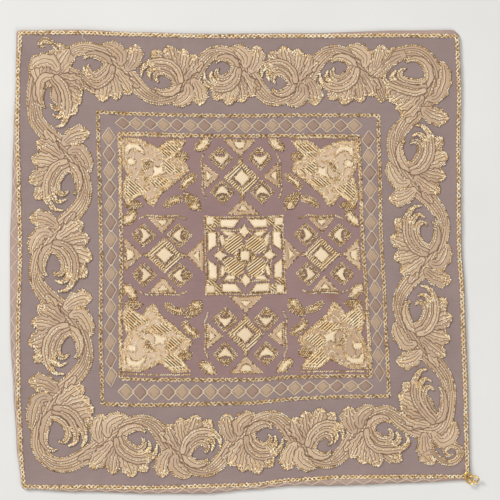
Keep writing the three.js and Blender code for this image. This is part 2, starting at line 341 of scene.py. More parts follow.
def clear_of(polygons, points):
    """Whether each point lies outside all the polygons."""
    kept = np.ones(len(points), bool)
    for polygon in polygons:
        kept &= ~holds(polygon, points)
    return kept


def runs(curve, kept):
    """The parts of a curve that are kept, each long enough to sew."""
    breaks = np.flatnonzero(np.diff(kept.astype(int))) + 1
    parts = np.split(np.arange(len(curve)), breaks)
    return [curve[part] for part in parts if len(part) > 2 and kept[part[0]]]


def hatch(polygon, angle, pitch, margin=0.4):
    """Parallel lines at an angle that fill a polygon, each as its two ends."""
    flat = turned(polygon, -angle)
    lines = []
    for y in np.arange(flat[:, 1].min() + pitch / 2, flat[:, 1].max(), pitch):
        ends = []
        for (x0, y0), (x1, y1) in zip(flat, np.roll(flat, -1, axis=0)):
            if (y0 > y) != (y1 > y):
                ends.append(x0 + (y - y0) * (x1 - x0) / (y1 - y0))
        ends.sort()
        for a, b in zip(ends[::2], ends[1::2]):
            if b - a > 2 * margin + 1:
                lines.append(turned([(a + margin, y), (b - margin, y)], angle))
    return lines


# The scroll border runs round the cover as a band that turns at the corners.
BAND_HALF_WIDTH = 180.0
BAND_HALF_HEIGHT = 184.0
CORNER_ZONE = 45.0
CORNER_ROUND = 22.0
CORNER_EASE = 0.4
UNIT_LENGTH = 59.0
CORNER_LENGTH = 2 * (CORNER_ZONE - CORNER_ROUND) + CORNER_ROUND * math.pi / 2
TOP_LENGTH = 2 * (BAND_HALF_WIDTH - CORNER_ZONE)
SIDE_LENGTH = 2 * (BAND_HALF_HEIGHT - CORNER_ZONE)
BAND_LENGTH = 2 * (TOP_LENGTH + SIDE_LENGTH + 2 * CORNER_LENGTH)

# One unit of the scroll, drawn for a fan that opens inwards: a place is how far on it is along the
# band and how far inwards. Half widths go along the spine. Later leaves lie on top.
UNIT_LEAVES = [
    dict(name="fan", spine=[(-12, -8), (-8, 6), (-5, 15), (-4, 21)],
         halves=[4, 11, 17, 17, 8], scallops=0, lines=[]),
    dict(name="vine", spine=[(-49, 25), (-40, 21.5), (-31, 12), (-22.5, -1), (-13, -13), (-2, -20.5),
                             (10, -24), (20, -21), (29, -12)],
         halves=[3.4, 6.6, 7.2, 7.5, 7.5, 7, 6.5, 6, 4], scallops=0,
         lines=[0.55, 0.2, -0.15, -0.5]),
    dict(name="calyx", spine=[(-22, -3), (-27, -12), (-29, -20), (-29.5, -29.5)],
         halves=[3, 7.5, 9, 7.5], scallops=3, lines=[0.5, 0.1, -0.35]),
    dict(name="calyx_side", spine=[(-17, -8), (-18, -18), (-12, -25), (-3, -29.5)],
         halves=[3, 7, 7, 4.5], scallops=4, lines=[0.4, -0.2]),
    dict(name="lobe_back", spine=[(-18, 1), (-27, 8), (-33, 14)],
         halves=[3, 5, 4], scallops=2, lines=[0.2]),
    dict(name="lobe_low", spine=[(-13, -4), (-19, 8), (-25, 20.5)],
         halves=[4, 8.5, 8], scallops=3, lines=[0.5, 0.05, -0.45]),
    dict(name="lobe_front", spine=[(-3, 3), (6, 13), (15, 23.5)],
         halves=[4, 8, 7], scallops=3, lines=[0.45, 0, -0.4]),
    dict(name="lobe_left", spine=[(-9, -1), (-12, 13), (-13.5, 26.5)],
         halves=[4, 8, 7.5], scallops=3, lines=[0.5, 0.05, -0.45]),
    dict(name="lobe_top", spine=[(-6, 1), (-2, 15), (2, 29)],
         halves=[4, 9, 8], scallops=4, lines=[0.5, 0.05, -0.45]),
    dict(name="curl_low", spine=[(-9, -5), (-6, -13), (1, -18), (9, -18), (13, -13)],
         halves=[3, 4.4, 4.2, 3.2, 1.4], scallops=5, lines=[0.1]),
    dict(name="curl_inner",
         spine=[(-6, -10), (-2.5, -2.5), (4.5, 2.6), (10.5, 1.4), (12.6, -4), (10, -8)],
         halves=[2, 2.6, 2.7, 2.6, 2.2, 1], scallops=4, lines=[0.1]),
    dict(name="curl_middle", spine=[(-9, -9), (-5.5, 1), (3.5, 8), (13, 7.2), (18, 1), (16.5, -5)],
         halves=[2.4, 3, 3, 3, 2.4, 1], scallops=5, lines=[0.1]),
    dict(name="curl_outer", spine=[(-11, -8), (-8.5, 4), (1, 12.8), (14, 13.2), (23, 6), (24.4, -2)],
         halves=[2.6, 3.2, 3.2, 3.2, 2.6, 1], scallops=6, lines=[0.1]),
]
# The leaves whose lines are dotted with pale dashes, and those whose tips end in a few knots.
DOTTED = ("vine", "curl_low", "curl_inner", "curl_middle", "curl_outer")
TIP_KNOTS = 16
KNOTTED = ("lobe_low", "lobe_front", "lobe_left", "lobe_top", "calyx", "curl_outer", "curl_middle")

# Where the units stand, run anticlockwise from the top right, 1 where the fan opens inwards, and how
# deep the fan is where it isn't drawn in full.
STATIONS = [
    (28, 1), (88.5, -1), (144.5, 1), (203.5, -1), (274, 1), (324, 1, 0.7), (409.6, -1),
    (487.6, 1), (570, -1), (650, 1),
    (730.7, -1), (793.7, 1), (855.7, -1), (916.7, 1), (973.7, -1),
    (1046, 1), (1134.8, -1), (1214.8, 1), (1299, -1), (1378, 1, 0.8),
]

# Lone leaves of the border's corners: spine in the design and half widths.
CORNER_SPRIGS = [
    ([(-166, 200), (-178, 192), (-190, 182), (-199, 170), (-203, 156)], [5, 7, 8, 8, 6]),
    ([(-196, 168), (-201, 186), (-203.5, 202)], [4, 7.5, 7]),
    ([(-191, 176), (-190, 192), (-187.5, 206)], [4, 6.5, 5.5]),
    ([(-184, 182), (-178, 196), (-170, 208)], [4, 6.5, 5.5]),
    ([(-178, 205), (-188, 214), (-196, 216.5), (-200, 212), (-195, 210)], [1, 1.3, 2.2, 2.4, 1.2]),
    ([(168, 206), (154, 200), (141, 188), (128, 177)], [5, 6, 6.5, 5]),
    ([(136, 189), (139, 202), (142.5, 214)], [2, 3.6, 3.2]),
    ([(143, 192), (150, 203), (157, 212)], [1.5, 2.6, 2.2]),
    ([(174.5, -203), (186, -199.5), (191.5, -206), (202, -210.5), (212, -205), (212.5, -196),
      (204.5, -192.5), (197.5, -197.5), (201, -203), (206, -201)],
     [1.2, 2.6, 2.2, 2.6, 2.8, 3, 3, 2.8, 2.2, 1.6]),
]


def band_point(run, offset):
    """A place in the border: a distance run anticlockwise from the top right, and one inwards."""
    run = np.asarray(run, float) % BAND_LENGTH
    offset = np.broadcast_to(np.asarray(offset, float), run.shape)
    result = np.zeros(run.shape + (2,))
    start = np.array([BAND_HALF_WIDTH - CORNER_ZONE, BAND_HALF_HEIGHT])
    ahead = np.array([-1.0, 0.0])
    begin = 0.0
    for length in (TOP_LENGTH, SIDE_LENGTH, TOP_LENGTH, SIDE_LENGTH):
        inwards = np.array([-ahead[1], ahead[0]])
        here = (run >= begin) & (run < begin + length)
        part = (run[here] - begin)[:, None]
        result[here] = start + ahead * part + inwards * offset[here][:, None]
        begin += length
        start = start + ahead * length
        here = (run >= begin) & (run < begin + CORNER_LENGTH)
        off = offset[here]
        radius = CORNER_ROUND - CORNER_EASE * off
        straight = CORNER_ZONE - off - radius
        part = (run[here] - begin) / CORNER_LENGTH * (2 * straight + radius * math.pi / 2)
        turn = np.clip((part - straight) / radius, 0, math.pi / 2)
        last = np.clip(part - straight - radius * math.pi / 2, 0, None)
        forward = np.minimum(part, straight) + radius * np.sin(turn)
        inward = off + radius * (1 - np.cos(turn)) + last
        result[here] = start + ahead * forward[:, None] + inwards * inward[:, None]
        begin += CORNER_LENGTH
        start = start + ahead * CORNER_ZONE + inwards * CORNER_ZONE
        ahead = inwards
    return result


def unit_places(index, points):
    """Carry a unit's places to the border, stretched to reach its neighbours."""
    at, facing = STATIONS[index][:2]
    depth = STATIONS[index][2] if len(STATIONS[index]) > 2 else 1.0
    before = (at - STATIONS[index - 1][0]) % BAND_LENGTH
    after = (STATIONS[(index + 1) % len(STATIONS)][0] - at) % BAND_LENGTH
    x, y = np.asarray(points, float).T
    stretched = np.where(x < 0, x * before, x * after) / UNIT_LENGTH
    return band_point(at + stretched, np.where(y > 0, y * depth, y) * facing)


def leaf(curve, halves, scallops=0, lines=(), facing=1, name="leaf", layer=0):
    """A leaf on a curve, by its half widths along it. A curl's rim is scalloped, a lobe's toothed."""
    share = run_lengths(curve) / run_lengths(curve)[-1]
    half = np.interp(share, np.linspace(0, 1, len(halves)), halves)
    if scallops:
        half = half * np.clip(1 - share**7, 0, 1) ** 0.75
        if name.startswith("curl"):
            half = half * (0.8 + 0.3 * np.abs(np.sin(math.pi * (scallops + 0.5) * share)) ** 0.7)
        else:
            tooth = (share * (scallops + 1)) % 1
            half = half * (0.82 + 0.36 * tooth**1.4)
    half = half * facing
    side = sideways(curve) * half[:, None]
    edges = [curve + side, (curve - side)[::-1]]
    return dict(name=name, curve=curve, half=half, share=share, lines=lines, layer=layer,
                polygon=np.vstack(edges), rims=edges if name == "vine" else [closed(np.vstack(edges))])


def scroll_leaves():
    """All the border's leaves, from the lowest layer to the highest."""
    leaves = []
    for index, (_, facing, *_) in enumerate(STATIONS):
        for layer, shape in enumerate(UNIT_LEAVES):
            curve = evenly(unit_places(index, spline(shape["spine"])), 1.25)
            leaves.append(leaf(curve, shape["halves"], shape["scallops"], shape["lines"], facing,
                               shape["name"], layer))
    for spine, halves in CORNER_SPRIGS:
        leaves.append(leaf(spline(spine, 0.9), halves, 2, [0.3, -0.3], 1, "sprig", 2))
    leaves.sort(key=lambda one: one["layer"])
    return leaves


# The centre's tiles, each drawn about its own middle. A shape is its kind and its outline. "cream"
# and "beige" are padded, "flecked" is beige with rows of stitches inside its rim, "stripes" are laid
# in satin stitch, "knots" are filled with short stitches, "double" is a double line of gold stitches
# and "single" a fine one.
TILE_COLUMNS = (-79.0, 0.5, 78.5)
TILE_ROWS = (-78.3, 1.3, 81.0)
CENTRE_TILE = {
    "turned_and_mirrored": [
        ("cream", [(4.6, 37), (23.8, 36.8), (23.8, 28.8), (10.4, 28.8)]),
        ("cream", [(9.6, 23.2), (12.4, 19.4), (19, 21), (22.4, 25), (15, 24.8)]),
        ("stripes", [(24.6, 38), (30.2, 38), (30.2, 29.6), (24.6, 30.4)]),
        ("single", [(4, 27.4), (9.4, 25.4), (23, 26.2)]),
        ("single", [(0.6, 39.4), (24, 39.2), (40.6, 40)]),
        ("single", [(3, 24.6), (9, 20.4), (13, 16.8), (22, 16)]),
    ],
    "turned": [
        ("cream", [(31.2, 30), (39.6, 30), (39.6, 38), (31.2, 38)]),
        ("cream", [(0.2, 31.6), (4.9, 25), (0.2, 18.4), (-5, 25)]),
        ("stripes", [(1.4, 8.6), (1.8, 17), (8, 20.4), (17, 19), (21.4, 14), (20.4, 2.6), (9.4, 1.8),
                     (7.6, 6)]),
        ("knots", [(-3, 5.4), (3, 5.4), (7.4, 7), (4, 9.6), (0, 11.6), (-4, 9.6), (-7.4, 7)]),
    ],
    "once": [
        ("cream", [(-4.4, -4.8), (4.4, -4.8), (4.6, 0), (4.4, 4.8), (-4.4, 4.8), (-4.6, 0)]),
    ],
}
EDGE_TILE = {
    "mirrored": [
        ("cream", [(12.8, 25.4), (15.4, 22.6), (19.7, 21.4), (24.4, 22.6), (27.4, 25.4), (26.4, 20),
                   (20, 13.4), (13.8, 20)]),
        ("knots", [(16.4, 25.4), (20, 24), (23.6, 25.4), (22.4, 28.6), (17.8, 28.6)]),
        ("double", [(20, 31.4), (31, 20.8), (20, 9), (9, 20.8)]),
        ("cream", [(20.2, -7.4), (25.8, -13.4), (27.6, -19.2), (24.2, -16.4), (20.2, -15.2),
                   (16.2, -16.4), (12.6, -19.2), (14.6, -13.4)]),
        ("knots", [(16.6, -18.8), (20.2, -17.2), (23.8, -18.8), (22.6, -22.4), (18, -22.4)]),
        ("double", [(20.2, -3), (31.4, -14.6), (20.2, -26), (9, -14.6)]),
        ("knots", [(29, 40.6), (30, 34), (35, 28.4), (43, 26), (46.4, 29), (45.4, 35), (41, 37),
                   (39.6, 40.6)]),
        ("cream", [(31.4, 39.6), (32.4, 34.8), (36.4, 30.4), (42.4, 28.4), (43.8, 31.6), (39.8, 34),
                   (37.2, 39.6)]),
        ("single", [(37, 25), (40.4, 16), (39.4, 2), (40.4, -12), (37, -22)]),
        ("cream", [(29.4, 2), (35.8, 7.6), (35.6, -3.6)]),
        ("beige", [(37.6, 14.4), (23, 2), (37.6, -10.6)]),
    ],
    "once": [
        ("cream", [(0.6, 8.6), (9, 0.4), (0.6, -8), (-7.8, 0.4)]),
        ("stripes", [(-17.6, 0), (0, 18.4), (0, 11.8), (-11, 0)]),
        ("stripes", [(0, 18.4), (17.6, 0), (11, 0), (0, 11.8)]),
        ("stripes", [(17.6, 0), (0, -17.6), (0, -11), (11, 0)]),
        ("stripes", [(0, -17.6), (-17.6, 0), (-11, 0), (0, -11)]),
        ("knots", [(-2.4, 17), (2.4, 17), (1.6, 21.6), (-1.6, 21.6)]),
        ("knots", [(-2.4, -17), (2.4, -17), (1.6, -21), (-1.6, -21)]),
        ("cream", [(-6.4, 37.6), (-3.4, 31.4), (0, 29.8), (3.4, 31.4), (6.4, 37.6)]),
        ("beige", [(-15.6, 39), (0, 23.4), (15.6, 39)]),
        ("cream", [(-5.8, -33.6), (5.8, -33.6), (0, -27.4)]),
        ("beige", [(-15.6, -37.4), (0, -22.4), (15.6, -37.4)]),
    ],
}
CORNER_TILE = [
    ("flecked", [(-41, 38), (-24, 38), (-13, 33.4), (-4, 28.4), (3, 35), (9, 38.4), (24.4, 37.6),
               (19, 29), (12, 23), (15, 19), (22, 16), (27, 8.4), (18, 1), (9, -7), (1, -13), (-4, -19),
               (-10, -30), (-16, -27), (-21, -18), (-29, -22), (-36, -28), (-41, -19), (-39, -7),
               (-35, 2), (-39, 9), (-42, 20)]),
    ("cream", [(-38, 22), (-37.6, 30), (-33, 33.6), (-25, 33), (-20, 28.6), (-17.8, 21), (-22.4, 25),
               (-27, 28), (-32, 27.6), (-34.6, 23)]),
    ("cream", [(-37, 14.6), (-33.6, 18.6), (-29, 18.4), (-26.8, 14.6), (-30, 11.2), (-34.8, 11.4)]),
    ("knots", [(-20, 15.6), (-9, 19.4), (-6, 15.4), (-11, 12.4), (-12, 7.4), (-18, 3.6), (-23, 0),
               (-27, 3), (-22, 8)]),
    ("stripes", [(-1.4, 27.6), (7, 36.6), (22.6, 36), (10, 19.6), (1.4, 20.6)]),
    ("cream", [(-10, 11.6), (-5, 9.6), (0, 12.2), (-0.6, 6.6), (3.4, 3.6), (-3, 2.4), (-14, -2.4),
               (-9.4, 4)]),
    ("stripes", [(1.6, 18.4), (7.4, 18), (20, 7.6), (15.4, 3.6), (5.6, 2.8), (1.4, 9)]),
    ("stripes", [(-6, 0.4), (3, -0.6), (9.6, -3), (-1, -11), (-17, -7.6)]),
    ("stripes", [(-37, 0.4), (-29, -4.6), (-12, -14.6), (-22, -16.4), (-35.4, -26), (-39.6, -16)]),
    ("knots", [(24.6, 9.6), (27, 7), (9, -9), (-5, -20), (-10.6, -29), (-14.6, -27), (-8, -16),
               (7, -4)]),
    ("knots", [(-18, 2), (-6, -1), (-18, -7), (-30, -3)]),
    ("double", [(17, -10), (21, -2), (29, 3.6), (33.4, 2.6), (31.6, -3), (24, -7.4), (21, -13)]),
    ("cream", [(19, -7.4), (22.6, -2.8), (30.4, 2), (31, -0.6), (24.6, -5), (20.8, -10)]),
    ("double", [(0, -30), (4.6, -23.6), (10, -20.6), (17.6, -19.8), (17.4, -24.4), (9, -26.6),
                (4, -30.6)]),
    ("cream", [(1.4, -28.6), (5.4, -25), (10.4, -22.6), (16, -21.8), (15.6, -23.6), (9, -25.2)]),
    ("knots", [(19, -16), (24, -15), (28, -17.4), (34, -20), (37, -27), (36, -34), (27, -33.6),
               (21.4, -26)]),
    ("cream", [(26.6, -31), (29.4, -26), (33.4, -29), (32.6, -32.6)]),
    ("knots", [(13, 24), (19, 27), (26, 25), (27, 19), (22, 16), (16, 19)]),
    ("knots", [(-40, -21), (-35, -27), (-26, -24), (-20, -30), (-28, -34), (-38, -32)]),
    ("single", [(-43.4, 36), (-43, 8), (-43.4, -35)]),
    ("single", [(-41, 41), (-10, 41.4), (24, 41)]),
]
SATIN_TURN = math.radians(42)


def centre_shapes():
    """All the shapes of the nine tiles, as (kind, outline, angle of its stripes)."""
    shapes = []
    quarter = math.pi / 2
    middle = (TILE_COLUMNS[1], TILE_ROWS[1])

    def add(kind, outline, at, angle=SATIN_TURN):
        shapes.append((kind, np.asarray(outline, float) + at, angle))

    for k in range(4):
        for kind, outline in CENTRE_TILE["turned_and_mirrored"]:
            for mirror in (1, -1):
                add(kind, turned(np.array(outline) * (mirror, 1), k * quarter), middle, -SATIN_TURN)
        for kind, outline in CENTRE_TILE["turned"]:
            add(kind, turned(outline, k * quarter), middle, SATIN_TURN - 0.1)
        column, row = ((1, 2), (0, 1), (1, 0), (2, 1))[k]
        at = (TILE_COLUMNS[column], TILE_ROWS[row])
        for kind, outline in EDGE_TILE["mirrored"]:
            for mirror in (1, -1):
                add(kind, turned(np.array(outline) * (mirror, 1), k * quarter), at)
        for kind, outline in EDGE_TILE["once"]:
            add(kind, turned(outline, k * quarter), at)
    for kind, outline in CENTRE_TILE["once"]:
        add(kind, outline, middle)
    for column in (0, 2):
        for row in (0, 2):
            mirror = (1 if column == 0 else -1, 1 if row == 2 else -1)
            turn = SATIN_TURN if (column, row) == (2, 0) else -SATIN_TURN
            for kind, outline in CORNER_TILE:
                add(kind, np.array(outline) * mirror, (TILE_COLUMNS[column], TILE_ROWS[row]), turn)
    return shapes


# A stitch as a spindle along X: its points in shares of its length, width and height, and faces.
BEAD_POINTS = np.array([
    (-0.5, 0, 0.1), (-0.24, -0.5, 0), (-0.24, 0, 0.9), (-0.24, 0.5, 0), (-0.24, 0, -0.3),
    (0.24, -0.5, 0), (0.24, 0, 0.9), (0.24, 0.5, 0), (0.24, 0, -0.3), (0.5, 0, 0.1),
])
BEAD_FACES = np.array(
    [(0, 1 + (k + 1) % 4, 1 + k) for k in range(4)]
    + [(1 + k, 1 + (k + 1) % 4, 5 + (k + 1) % 4) for k in range(4)]
    + [(1 + k, 5 + (k + 1) % 4, 5 + k) for k in range(4)]
    + [(9, 5 + k, 5 + (k + 1) % 4) for k in range(4)]
)[:, ::-1]


# The padding's mesh: spacing of its rim and inner points, and how clear of the rim they stay.
RIM_SPACING = 1.6
INNER_SPACING = 2.4
INNER_CLEAR = 0.9
# A padded leaf across its width: shares of its half width and of its height.
LEAF_ACROSS = np.array([-1, -0.97, -0.55, 0, 0.55, 0.97, 1])
LEAF_HEIGHTS = np.array([-0.4, 0.6, 0.95, 1, 0.95, 0.6, -0.4])


class Stock:
    """Points with their lifts, triangles, tones and thread places gathered for one joined piece."""

    def __init__(self, seed=SEED):
        self.points = []
        self.lifts = []
        self.faces = []
        self.tones = []
        self.threads = []
        self.count = 0
        self.rng = np.random.default_rng(seed)

    def add(self, points, lifts, faces, tone, threads=None):
        count = len(points)
        self.points.append(points)
        self.lifts.append(np.broadcast_to(lifts, count))
        self.faces.append(np.asarray(faces) + self.count)
        self.tones.append(np.broadcast_to(tone, count))
        self.threads.append(points if threads is None else threads)
        self.count += count

    def beads(self, at, angle, size, lift, tone=0.5, spread=0.45):
        """Small spindles of thread: size is their length, width and height."""
        if not len(at):
            return
        # Each stitch's tone is drawn at random from dark to near-white: partly the thread's own uneven
        # tone, partly painted glints and painted shade.
        tones = np.clip(tone + self.rng.uniform(-spread, spread, len(at)), 0, 1)
        long = size[0] * self.rng.uniform(0.85, 1.12, len(at))[:, None]
        c, d = np.cos(angle)[:, None], np.sin(angle)[:, None]
        x, y = BEAD_POINTS[:, 0] * long, BEAD_POINTS[:, 1] * size[1]
        points = np.stack([at[:, :1] + c * x - d * y, at[:, 1:] + d * x + c * y], axis=-1)
        lifts = np.broadcast_to(lift, len(at))[:, None] + BEAD_POINTS[:, 2] * size[2]
        step = len(BEAD_POINTS)
        faces = BEAD_FACES[None] + step * np.arange(len(at))[:, None, None]
        self.add(points.reshape(-1, 2), lifts.ravel(), faces.reshape(-1, 3), np.repeat(tones, step))

    def bead_run(self, curve, pitch, size, lift, slant=0.0, tone=0.5, keep=None, spread=0.45):
        """Beads along a curve, each slanted to it. keep says which places get one."""
        places = evenly(curve, pitch / 2)
        ahead = headings(places)[1::2]
        places = places[1::2]
        angle = np.arctan2(ahead[:, 1], ahead[:, 0]) + slant
        angle = angle + self.rng.uniform(-0.25, 0.25, len(angle))
        places = places + self.rng.uniform(-0.25, 0.25, places.shape)
        kept = np.ones(len(places), bool) if keep is None else keep(places)
        self.beads(places[kept], angle[kept], size, lift, tone, spread)

    def scatter(self, outline, pitch, size, lift, tone):
        """Short stitches that fill an outline in rows, each a little out of line."""
        low, up = outline.min(axis=0), outline.max(axis=0)
        x, y = np.meshgrid(np.arange(low[0], up[0], pitch[0]), np.arange(low[1], up[1], pitch[1]))
        x = x + (np.arange(len(x)) % 2)[:, None] * pitch[0] / 2
        at = np.stack([x.ravel(), y.ravel()], axis=1)
        at = at + self.rng.uniform(-0.3, 0.3, at.shape)
        at = at[holds(outline, at)]
        self.beads(at, self.rng.uniform(-0.9, 0.9, len(at)) + 0.5, size, lift, tone)

    def cord(self, curve, half, lift, high, tone=0.5, threads=None):
        """A low ridge of thread along a curve, closed underneath."""
        side = sideways(curve) * half
        count = len(curve)
        points = np.vstack([curve - side, curve, curve + side])
        lifts = np.repeat([lift, lift + high, lift], count)
        k = np.arange(count - 1)
        faces = []
        for a, b in ((0, 1), (1, 2), (2, 0)):
            a, b = a * count + k, b * count + k
            faces += [np.stack([a, a + 1, b + 1], 1), np.stack([a, b + 1, b], 1)]
        last = count - 1
        faces.append(np.array([(0, count, 2 * count), (2 * count + last, count + last, last)]))
        self.add(points, lifts, np.vstack(faces), tone, threads)

    def strip(self, one, lift, high, tone):
        """A padded leaf along its spine, with turned-down rims."""
        curve, half = one["curve"], one["half"]
        side = sideways(curve)
        count, wide = len(curve), len(LEAF_ACROSS)
        offset = half[:, None] * LEAF_ACROSS
        points = curve[:, None] + side[:, None] * offset[..., None]
        run = np.broadcast_to(run_lengths(curve)[:, None], offset.shape)
        lifts = np.broadcast_to(lift + LEAF_HEIGHTS * high, (count, wide))
        faces = grid_faces(count, wide)
        if half.sum() < 0:
            faces = faces[:, ::-1]
        self.add(points.reshape(-1, 2), lifts.ravel(), faces, tone,
                 np.stack([offset.ravel(), run.ravel()], axis=1))

    def plate(self, outline, lift, high, tone, angle=0.0, puff=1.6):
        """A padded patch that fills an outline, swelling in from its rim."""
        rim = evenly(closed(outline), RIM_SPACING)[:-1]
        low, up = rim.min(axis=0), rim.max(axis=0)
        x, y = np.meshgrid(*(np.arange(low[k], up[k], INNER_SPACING) for k in (0, 1)))
        inner = np.stack([x.ravel(), y.ravel()], axis=1)
        inner = inner[holds(rim, inner)]
        gap = np.linalg.norm(inner[:, None] - rim[None], axis=2).min(axis=1)
        inner, gap = inner[gap > INNER_CLEAR], gap[gap > INNER_CLEAR]
        points = [Vector(p) for p in np.vstack([rim, inner])]
        edges = [(k, (k + 1) % len(rim)) for k in range(len(rim))]
        found = geometry.delaunay_2d_cdt(points, edges, [], 1, 1e-5)
        spots = np.array([tuple(p) for p in found[0]])
        faces = np.array([f for f in found[2] if len(f) == 3])
        if not len(faces) or len(spots) != len(points):
            raise RuntimeError("An outline of the design crosses itself")
        count = len(rim)
        swell = np.concatenate([np.full(count, 0.55), 0.55 + 0.45 * (1 - np.exp(-gap / puff))])
        area = np.sum(rim[:, 0] * np.roll(rim[:, 1], -1) - np.roll(rim[:, 0], -1) * rim[:, 1])
        k = np.arange(count)
        after, foot = (k + 1) % count, len(spots) + k
        foot_after = len(spots) + after
        walls = np.vstack([np.stack([k, foot, foot_after], 1), np.stack([k, foot_after, after], 1)])
        if area < 0:
            walls = walls[:, ::-1]
        self.add(np.vstack([spots, rim]), lift + high * np.concatenate([swell, np.full(count, -0.3)]),
                 np.vstack([faces, walls]), tone, turned(np.vstack([spots, rim]), -angle))

    def piece(self, name, material, slot):
        """The joined mesh, draped on the cloth."""
        points, faces = np.vstack(self.points), np.vstack(self.faces)
        body = drape(points, np.concatenate(self.lifts))
        return mesh_piece(name, body, faces, material, {"tone": np.concatenate(self.tones)},
                          np.vstack(self.threads))


def grid_faces(rows, columns):
    """The triangles of a grid whose points go row by row."""
    a = (np.arange(rows - 1)[:, None] * columns + np.arange(columns - 1)).ravel()
    b, c, d = a + 1, a + columns + 1, a + columns
    return np.vstack([np.stack([a, b, c], 1), np.stack([a, c, d], 1)])


def mesh_piece(name, points, faces, material, values=None, threads=None):
    """A mesh piece of the cover. values are its point attributes and threads its UV map, in mm."""
    mesh = bpy.data.meshes.new(name)
    mesh.vertices.add(len(points))
    mesh.vertices.foreach_set("co", points.astype(np.float32).ravel())
    mesh.loops.add(faces.size)
    mesh.loops.foreach_set("vertex_index", faces.astype(np.int32).ravel())
    mesh.polygons.add(len(faces))
    mesh.polygons.foreach_set("loop_start", np.arange(len(faces), dtype=np.int32) * 3)
    mesh.update(calc_edges=True)
    mesh.validate()
    mesh.shade_smooth()
    for key, value in (values or {}).items():
        layer = mesh.attributes.new(key, "FLOAT", "POINT")
        layer.data.foreach_set("value", value.astype(np.float32))
    if threads is not None:
        layer = mesh.uv_layers.new(name="threads")
        corner = np.empty(len(mesh.loops), np.int32)
        mesh.loops.foreach_get("vertex_index", corner)
        layer.data.foreach_set("uv", threads[corner].astype(np.float32).ravel())
    piece = bpy.data.objects.new(name, mesh)
    bpy.context.scene.collection.objects.link(piece)
    mesh.materials.append(material)
    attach(piece, "root")
    return piece


# Materials.
def colour(red, green, blue):
    """A screen colour, 0 to 255, as Blender's linear one."""
    shares = [value / 255 for value in (red, green, blue)]
    return tuple(v / 12.92 if v <= 0.04045 else ((v + 0.055) / 1.055) ** 2.4 for v in shares) + (1.0,)


GROUND = colour(140, 120, 116)
GROUND_ROSE = colour(140, 112, 109)
RIM = colour(178, 152, 138)
STAIN = colour(128, 84, 58)
BEIGE = colour(191, 163, 136)
BEIGE_DARK = colour(163, 137, 114)
FAINT = colour(150, 123, 107)
CREAM = colour(227, 207, 175)
CREAM_DARK = colour(212, 188, 156)
# The gold thread's dark and pale ends are spread over its stitches at random, partly as painted glints
# and painted shade.
GOLD_DARK = colour(124, 90, 48)
GOLD = colour(241, 206, 150)
GOLD_PALE = colour(255, 244, 218)
VEIN = colour(142, 108, 80)
# The vein thread's dark end also colours the dark cords of painted shade under the border's outlines and
# where its leaves overlap.
VEIN_AND_SHADE_DARK = colour(108, 78, 48)
BACK = colour(140, 126, 124)
BRASS = colour(246, 214, 140)
BRASS_DARK = colour(210, 172, 100)
PALE_THREAD = colour(218, 196, 172)
FLOOR_DARK = colour(206, 206, 204)
FLOOR_PALE = colour(216, 215, 212)
SKY = (1.0, 0.97, 0.93, 1.0)
SKY_STRENGTH = 0.32
# The stain: its middle in the drawing, how ragged it is, and where it starts and ends to fade.
STAIN_PLACE = (91.5, -36.0, 5.0)
STAIN_RAGGED = 16.0
STAIN_FADE = (9.5, 19.0)
STAIN_DEPTH = 0.62
STRAND_PITCH = 2.4


def node(tree, kind, inputs=None, **settings):
    """A new node with its settings, its inputs set or linked."""
    made = tree.nodes.new(kind)
    for key, value in settings.items():
        setattr(made, key, value)
    for key, value in (inputs or {}).items():
        if isinstance(value, bpy.types.NodeSocket):
            tree.links.new(value, made.inputs[key])
        else:
            made.inputs[key].default_value = value
    return made


def maths(tree, operation, *values):
    return node(tree, "ShaderNodeMath", dict(enumerate(values)), operation=operation).outputs[0]


def mix(tree, share, low, high, blend="MIX"):
    made = node(tree, "ShaderNodeMix", {0: share, 6: low, 7: high}, data_type="RGBA",
                blend_type=blend)
    return made.outputs[2]


def new_material(name, metallic, roughness, sheen=0.0):
    """A material with its tree and shader, and the piece's places in millimetres."""
    material = bpy.data.materials.new(name)
    material.use_nodes = True
    tree = material.node_tree
    shader = tree.nodes["Principled BSDF"]
    shader.inputs["Metallic"].default_value = metallic
    shader.inputs["Roughness"].default_value = roughness
    shader.inputs["Sheen Weight"].default_value = sheen
    shader.inputs["Sheen Roughness"].default_value = 0.4
    place_node = node(tree, "ShaderNodeTexCoord")
    scaled = node(tree, "ShaderNodeVectorMath", {0: place_node.outputs["Object"], "Scale": 1000.0},
                  operation="SCALE")
    return material, tree, shader, scaled.outputs[0]


def noise(tree, at, scale, detail):
    return node(tree, "ShaderNodeTexNoise", {"Vector": at, "Scale": scale, "Detail": detail}).outputs[0]


def wave(tree, at, direction, scale, distortion, detail=2.0):
    made = node(tree, "ShaderNodeTexWave", {"Vector": at, "Scale": scale, "Distortion": distortion,
                                            "Detail": detail}, bands_direction=direction)
    return made.outputs["Fac"]


def attribute(tree, name):
    return node(tree, "ShaderNodeAttribute", attribute_name=name).outputs["Fac"]


def shaded(tree, base, light):
    """A colour made lighter or darker everywhere by a value about 1."""
    tint = node(tree, "ShaderNodeCombineColor", {0: light, 1: light, 2: light}).outputs[0]
    return mix(tree, 1.0, base, tint, "MULTIPLY")


def bump(tree, shader, height, distance, strength=1.0):
    made = node(tree, "ShaderNodeBump",
                {"Height": height, "Distance": distance * MM, "Strength": strength})
    tree.links.new(made.outputs[0], shader.inputs["Normal"])


